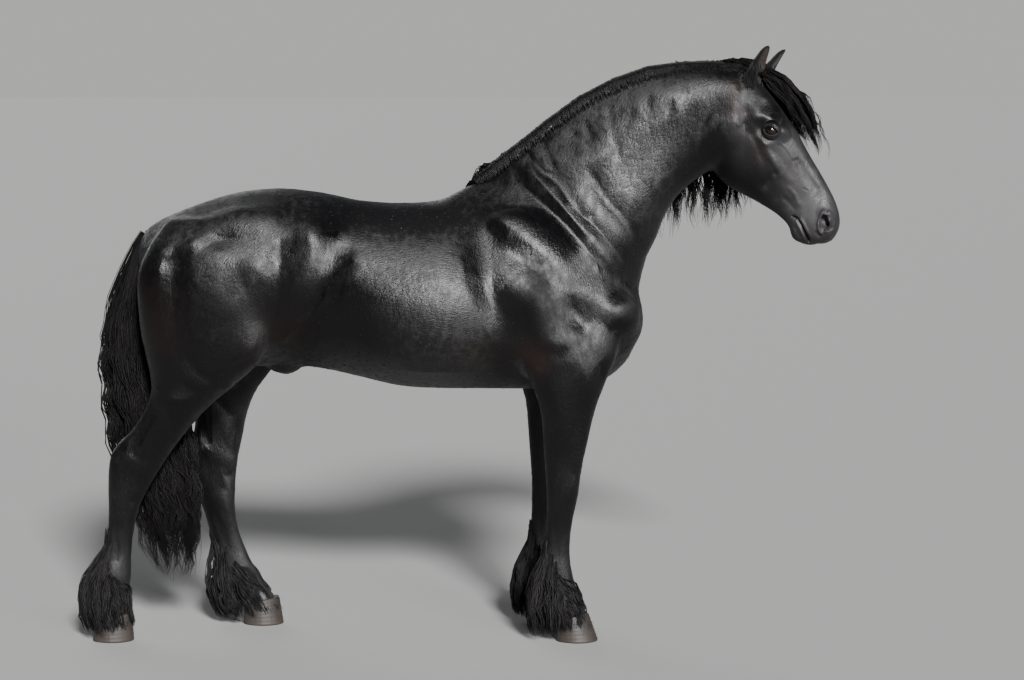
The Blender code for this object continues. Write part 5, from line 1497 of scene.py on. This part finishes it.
def solid_of(*objects):
    verts, faces = [], []
    for obj in objects:
        faces += [[i + len(verts) for i in p.vertices] for p in obj.data.polygons]
        verts += [v.co for v in obj.data.vertices]
    return BVHTree.FromPolygons(verts, faces)


HIDE = solid_of(skin)


def crest_hair(rng, low, high, count, points=10):
    """Single short strands side by side over the crest."""
    paths = []
    for place in np.linspace(low, high, count) + rng.normal(0, 0.0012, count):
        x, z, *_ = at_share(MANE, place)
        share = np.linspace(0.36 * rng.uniform() ** 0.7, rng.uniform(0.60, 1.0), points)
        y, fall = at_share(CREST, share)
        shrink = np.clip(0.45 + place * 6, 0, 1)
        paths.append(np.stack([x - 0.030 * share + rng.normal(0, 0.002), y * shrink, z - fall * shrink], axis=1))
    return np.array(paths)


def wear_coat(piece):
    """Makes a piece of short hair part of the coat that the skin shows."""
    piece.data.materials.append(BLACK_COAT)
    mark(piece.data, points_of(piece.data) - np.array(MID))
    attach(piece, "root")


MANE_LOCKS = dict(per_lock=18, steps=22, root=(0.028, 0.003), body=0.021, wave=0.010, wavelength=0.12, ragged=0.8)
MANE_WISPS = dict(per_lock=5, steps=22, root=(0.006, 0.004), body=0.010, wave=0.011, wavelength=0.11,
                  ragged=0.85, clump=0.8)
THROAT_LOCKS = dict(per_lock=13, steps=16, root=(0.010, 0.006), body=0.012, wave=0.007, wavelength=0.13,
                    ragged=0.72, clump=0.4)
MANE_GAP = 0.010  # the least between the guides of the locks and the hide
CREST_GAPS = (0.0008, 0.003, 0.006)  # the same for the layers of hair over the crest
rng = np.random.default_rng(23)
for name, low, high in (("mane_rear", 0.0, 0.52), ("mane_front", 0.50, 1.0)):
    guides, crest = mane_locks(rng, low, high, 56)
    guides = clear_of(HIDE, guides, MANE_GAP)
    paths = with_wisps(rng, guides, crest, MANE_LOCKS, MANE_WISPS, 12, (0.03, 0.015, 0.01))
    hang(hair_mesh(name, paths, strand_thickness(rng, paths)), "mane")
for name, low, high in (("crest_rear", 0.0, 0.5), ("crest_front", 0.5, 0.97)):
    paths = np.concatenate([clear_of(HIDE, crest_hair(rng, low, high, 380), gap) for gap in CREST_GAPS])
    wear_coat(hair_mesh(name, paths, strand_thickness(rng, paths, 0.0012)))

rng = np.random.default_rng(27)
guides, crest = mane_locks(rng, 0.56, 0.97, 70)
guides = clear_of(HIDE, guides[:, 18:], MANE_GAP)
paths = grow_locks(rng, guides, crest, **THROAT_LOCKS)
hang(hair_mesh("throat_locks", paths, strand_thickness(rng, paths, 0.0013)))

# --- The forelock -----------------------------------------------------------------------------
# The foremost mane, fallen forward between the ears over the forehead and down past the eyes in
# waved locks that stand a little off the face.
FORELOCK = [
    (-0.040, 0.008, 0.012, 0.018, 0.008),
    (-0.010, 0.030, 0.013, 0.020, 0.018),
    (0.030, 0.056, 0.018, 0.026, 0.028),
    (0.100, 0.084, 0.022, 0.060, 0.040),
    (0.180, 0.104, 0.026, 0.070, 0.046),
    (0.250, 0.104, 0.030, 0.062, 0.045),
    (0.325, 0.094, 0.034, 0.048, 0.036),
    (0.400, 0.072, 0.036, 0.022, 0.018),
]


def forelock_locks(rng, count, points=40):
    head = np.array(head_frame())
    guides = []
    for _ in range(count):
        turn, reach = rng.uniform(0, 2 * math.pi), 0.2 + 0.75 * math.sqrt(rng.uniform())
        share = np.linspace(0.02, rng.uniform(0.62, 1.0), points)
        down, out, side, half, thick = at_share(FORELOCK, share)
        grown_out = reach * np.clip(share * 5 + 0.35, 0, 1)
        away = out + thick * grown_out * math.sin(turn) - 0.35 * half * (grown_out * math.cos(turn)) ** 2
        local = np.stack([down, side + half * grown_out * math.cos(turn), away], axis=1)
        guides.append(local @ head[:3, :3].T + head[:3, 3])
    return np.array(guides)


FORELOCK_LOCKS = dict(per_lock=30, steps=20, root=(0.012, 0.005), body=0.016, wave=0.007, wavelength=0.11,
                      ragged=0.7, clump=0.6)
FORELOCK_WISPS = dict(per_lock=5, steps=20, root=(0.005, 0.004), body=0.008, wave=0.010, wavelength=0.09,
                      ragged=0.85, clump=0.8)
rng = np.random.default_rng(31)
above_face = solid_of(skin, bpy.data.objects["right_ear_cup"], bpy.data.objects["left_ear_cup"])
guides = clear_of(above_face, forelock_locks(rng, 38), 0.006)
across = np.tile(np.array(on_head(0, 0, 1) - on_head(0, 0, 0)), (len(guides), 1))
paths = with_wisps(rng, guides, across, FORELOCK_LOCKS, FORELOCK_WISPS, 14, (0.035, 0.02, 0.015))
hang(hair_mesh("forelock_locks", paths, strand_thickness(rng, paths, 0.0013)), "forelock")

# --- The feathers -----------------------------------------------------------------------------
# Heavy hair that starts down the back of each cannon, covers the fetlock and the heels all round
# and falls in waves over the hoof to the ground.
# Height, rear x, front x, sideways half-width, on the right fore leg, the right hind leg and the
# left hind leg.
FORE_FEATHER = [
    (0.39, 0.322, 0.365, 0.010),
    (0.33, 0.293, 0.395, 0.030),
    (0.27, 0.278, 0.412, 0.046),
    (0.21, 0.262, 0.424, 0.062),
    (0.15, 0.246, 0.442, 0.076),
    (0.10, 0.243, 0.466, 0.086),
    (0.05, 0.250, 0.480, 0.090),
    (0.015, 0.268, 0.474, 0.084),
]
HIND_FEATHER = [
    (0.44, -1.208, -1.150, 0.010),
    (0.37, -1.222, -1.125, 0.030),
    (0.30, -1.262, -1.112, 0.046),
    (0.23, -1.296, -1.108, 0.064),
    (0.16, -1.314, -1.106, 0.078),
    (0.10, -1.306, -1.108, 0.088),
    (0.05, -1.286, -1.112, 0.090),
    (0.015, -1.270, -1.120, 0.084),
]
HIND_FEATHER_FORWARD = [
    (0.42, -0.912, -0.850, 0.010),
    (0.35, -0.898, -0.795, 0.030),
    (0.29, -0.890, -0.757, 0.046),
    (0.22, -0.893, -0.722, 0.064),
    (0.16, -0.898, -0.690, 0.078),
    (0.10, -0.890, -0.648, 0.088),
    (0.05, -0.868, -0.614, 0.090),
    (0.015, -0.852, -0.606, 0.084),
]


def feather_locks(rng, rows, middle, shift, count, points=30):
    guides = []
    u = np.linspace(0, 1, points)
    for _ in range(count):
        turn = rng.vonmises(math.pi, 0.12)
        to_rear = 0.5 - 0.5 * math.cos(turn)
        start = 0.11 + (0.12 + (rows[0][0] - 0.24) * to_rear**1.3) * rng.uniform() ** 0.8
        low = rng.uniform(0.008, 0.035) + 0.034 * (1 - to_rear)
        z = start + (low - start) * u
        rear, front, half = read_at(rows[::-1], z)
        out = rng.uniform(0.30, 1.04) ** 0.7 * np.clip(0.35 + 1.6 * u, 0, 0.86 + 0.14 * to_rear)
        x = (rear + front) / 2 + (front - rear) / 2 * out * math.cos(turn) + shift
        y = middle + half * out * math.sin(turn)
        guides.append(np.stack([x, y, z], axis=1))
    return np.array(guides)


FEATHER_HAIR = hair_material("dusty_black_hair", (0.0035, 0.0031, 0.0032), (0.021, 0.019, 0.0195))
FEATHER_LOCKS = dict(per_lock=7, steps=12, root=(0.012, 0.003), body=0.013, wave=0.004, wavelength=0.09,
                     ragged=0.80, clump=0.7)
FEATHERS = {
    "right_fore": (FORE_FEATHER, -0.166, 0.0),
    "left_fore": (FORE_FEATHER, 0.166, STEP_BACK),
    "right_hind": (HIND_FEATHER, -0.162, 0.0),
    "left_hind": (HIND_FEATHER_FORWARD, 0.162, 0.0),
}
for seed, (name, (rows, middle, shift)) in enumerate(FEATHERS.items()):
    rng = np.random.default_rng(41 + seed)
    foot = solid_of(skin, bpy.data.objects[f"{name}_horn"])
    guides = clear_of(foot, feather_locks(rng, rows, middle, shift, 170), 0.0035)
    outward = guides[:, -1] - guides[:, -1].mean(0)
    round_leg = np.stack([-outward[:, 1], outward[:, 0], 0 * outward[:, 0]], axis=1)
    paths = grow_locks(rng, guides, round_leg, **FEATHER_LOCKS)
    paths[:, :, 2] = np.maximum(paths[:, :, 2], 0.004)
    locks = hair_mesh(f"{name}_feather_locks", paths, strand_thickness(rng, paths, 0.0015))
    hang(locks, f"{name}_feather", material=FEATHER_HAIR)

# --- The short coat -----------------------------------------------------------------------------
# Tufts of the short summer coat that lie back along the body and down the legs and the face, all
# over the hide but round the eyes and the muzzle. A fringe grows from the poll up behind each ear.
TUFT_POINTS = 4


def tufts(rng, spots, normals, ways, length, radius, lift):
    """Closed tapering tufts lying the given ways over the hide, each bent down to it again."""
    ways = ways - (ways * normals).sum(1, keepdims=True) * normals
    ways /= np.linalg.norm(ways, axis=1, keepdims=True) + 1e-9
    twist = rng.normal(0, 0.16, (len(spots), 1))
    ways = ways + np.cross(normals, ways) * twist
    u = np.linspace(0, 1, TUFT_POINTS)[None, :, None]
    rise = lift * u * (1.15 - 0.55 * u)
    length = np.broadcast_to(length, len(spots))[:, None, None] * rng.uniform(0.7, 1.2, (len(spots), 1, 1))
    paths = (spots - np.array(MID))[:, None] - normals[:, None] * 0.0006
    paths = paths + ways[:, None] * u * length + normals[:, None] * rise * length
    thick = radius * rng.uniform(0.8, 1.2, (len(spots), 1)) * np.array([0.8, 1.0, 0.65, 0.1])
    return paths, thick


def scattered(rng, count, weight):
    """Points spread over the hide, by area and by weight(middles), with their normals."""
    faces = skin.data.polygons
    middles = read(faces, "center")
    share = read(faces, "area", 1)[:, 0] * weight(middles - np.array(MID))
    chosen = rng.choice(len(middles), count, p=share / share.sum())
    return middles[chosen], read(faces, "normal")[chosen]


rng = np.random.default_rng(53)


def anywhere(middles):
    down, out, _ = in_head(middles)
    eyes = np.hypot(down - SLIT[0], out - SLIT[1]) < 0.035
    return np.where((middles[:, 0] > 0.93) & (eyes | (down > 0.57)), 0.0, 1.0)


spots, normals = scattered(rng, 9000, anywhere)
face = (spots[:, 0] > 0.93) & (spots[:, 2] < 1.95)
low = spots[:, 2] < 0.45
length = np.where(face, 0.006, np.where(low, 0.009, 0.013))
paths, thick = tufts(rng, spots, normals, lie_of_coat(spots - np.array(MID)), length, 0.0006, 0.16)
wear_coat(hair_mesh("short_coat", paths, thick, spots - np.array(MID)))

# How far round the ears' roots their hair starts, for 1 at the cup's own radius there.
EAR_FRINGE = (1.0, 3.6)


def ear_fringe(rng, side, count, points=6):
    """Hair from the poll up the back of an ear, which fills the corner between them."""
    root, length, _, _ = ear_axes(side)
    found = []
    for _ in range(count):
        angle = rng.normal(0, 0.75)
        foot = root + (ear_wall(side, 0.0, angle) - root) * rng.uniform(*EAR_FRINGE)
        spot, normal, _, _ = HIDE.find_nearest(Vector(foot) + MID)
        start = np.array(spot - MID) - 0.001 * np.array(normal)
        share = rng.uniform(0.15, 0.65)
        end = np.array(ear_wall(side, share, angle * 0.8, -0.0008))
        bend = (start + end) / 2 + np.array(normal) * 0.004 - np.array(length) * 0.06
        u = np.linspace(0, 1, points)[:, None]
        found.append((1 - u) ** 2 * start + 2 * u * (1 - u) * bend + u**2 * end)
    return np.array(found)


rng = np.random.default_rng(61)
paths = np.concatenate([ear_fringe(rng, side, 700) for side in (-1, 1)])
wear_coat(hair_mesh("ear_fringe", paths, strand_thickness(rng, paths, 0.0012)))

# --- The floor, the light and the view -----------------------------------------------------------
# A plain pale studio floor that runs out of sight, one strong soft light from high behind the
# viewer's right shoulder, weaker ones from the front and the far side, and a faint even light.
FLOOR_SIZE = 900
FLOOR_COLOUR, SEEN_COLOUR, EVEN_COLOUR = (0.364, 0.364, 0.357, 1), (0.50, 0.50, 0.487, 1), (0.85, 0.90, 1.0, 1)
EVEN_STRENGTH = 0.06
# Far lights: the way they shine, strength, softness as the angle they fill, in degrees.
LIGHTS = {
    "key_light": ((-0.20, 1.0, -0.46), 8.0, 9),
    "front_light": ((-0.55, 1.0, -0.10), 2.2, 20),
    "back_light": ((0.5, -1.0, -0.5), 0.9, 40),
}
CAMERA_PLACE, CAMERA_DROP, CAMERA_LENS = (0.194, -10.2, 1.92), 4.97, 102.8

bpy.ops.mesh.primitive_plane_add(size=FLOOR_SIZE, location=(0, 0, 0))
floor = bpy.context.object
floor.name = "floor"
pale, tree, shader = new_material("pale_floor")
give(tree, shader, {"Base Color": FLOOR_COLOUR, "Roughness": 0.9})
floor.data.materials.append(pale)

for name, (towards, strength, softness) in LIGHTS.items():
    lamp = linked(name, bpy.data.lights.new(name, "SUN"))
    lamp.data.energy = strength
    lamp.data.angle = math.radians(softness)
    lamp.rotation_euler = Vector(towards).to_track_quat("-Z", "Y").to_euler()
    lamp.location = Vector(towards) * -8

world = bpy.data.worlds.new("studio")
bpy.context.scene.world = world
world.use_nodes = True
tree = world.node_tree
seen = node(tree, "Background", {"Color": SEEN_COLOUR, "Strength": 1.0})
even = tree.nodes["Background"]
give(tree, even, {"Color": EVEN_COLOUR, "Strength": EVEN_STRENGTH})
by_camera = node(tree, "LightPath").outputs["Is Camera Ray"]
both = node(tree, "MixShader", {0: by_camera, 1: even.outputs[0], 2: seen.outputs[0]})
give(tree, tree.nodes["World Output"], {"Surface": both.outputs[0]})

camera = linked("camera", bpy.data.cameras.new("camera"))
camera.location = CAMERA_PLACE
camera.rotation_euler = (math.radians(90 - CAMERA_DROP), 0, 0)
camera.data.lens = CAMERA_LENS
camera.data.sensor_width = 36
bpy.context.scene.camera = camera
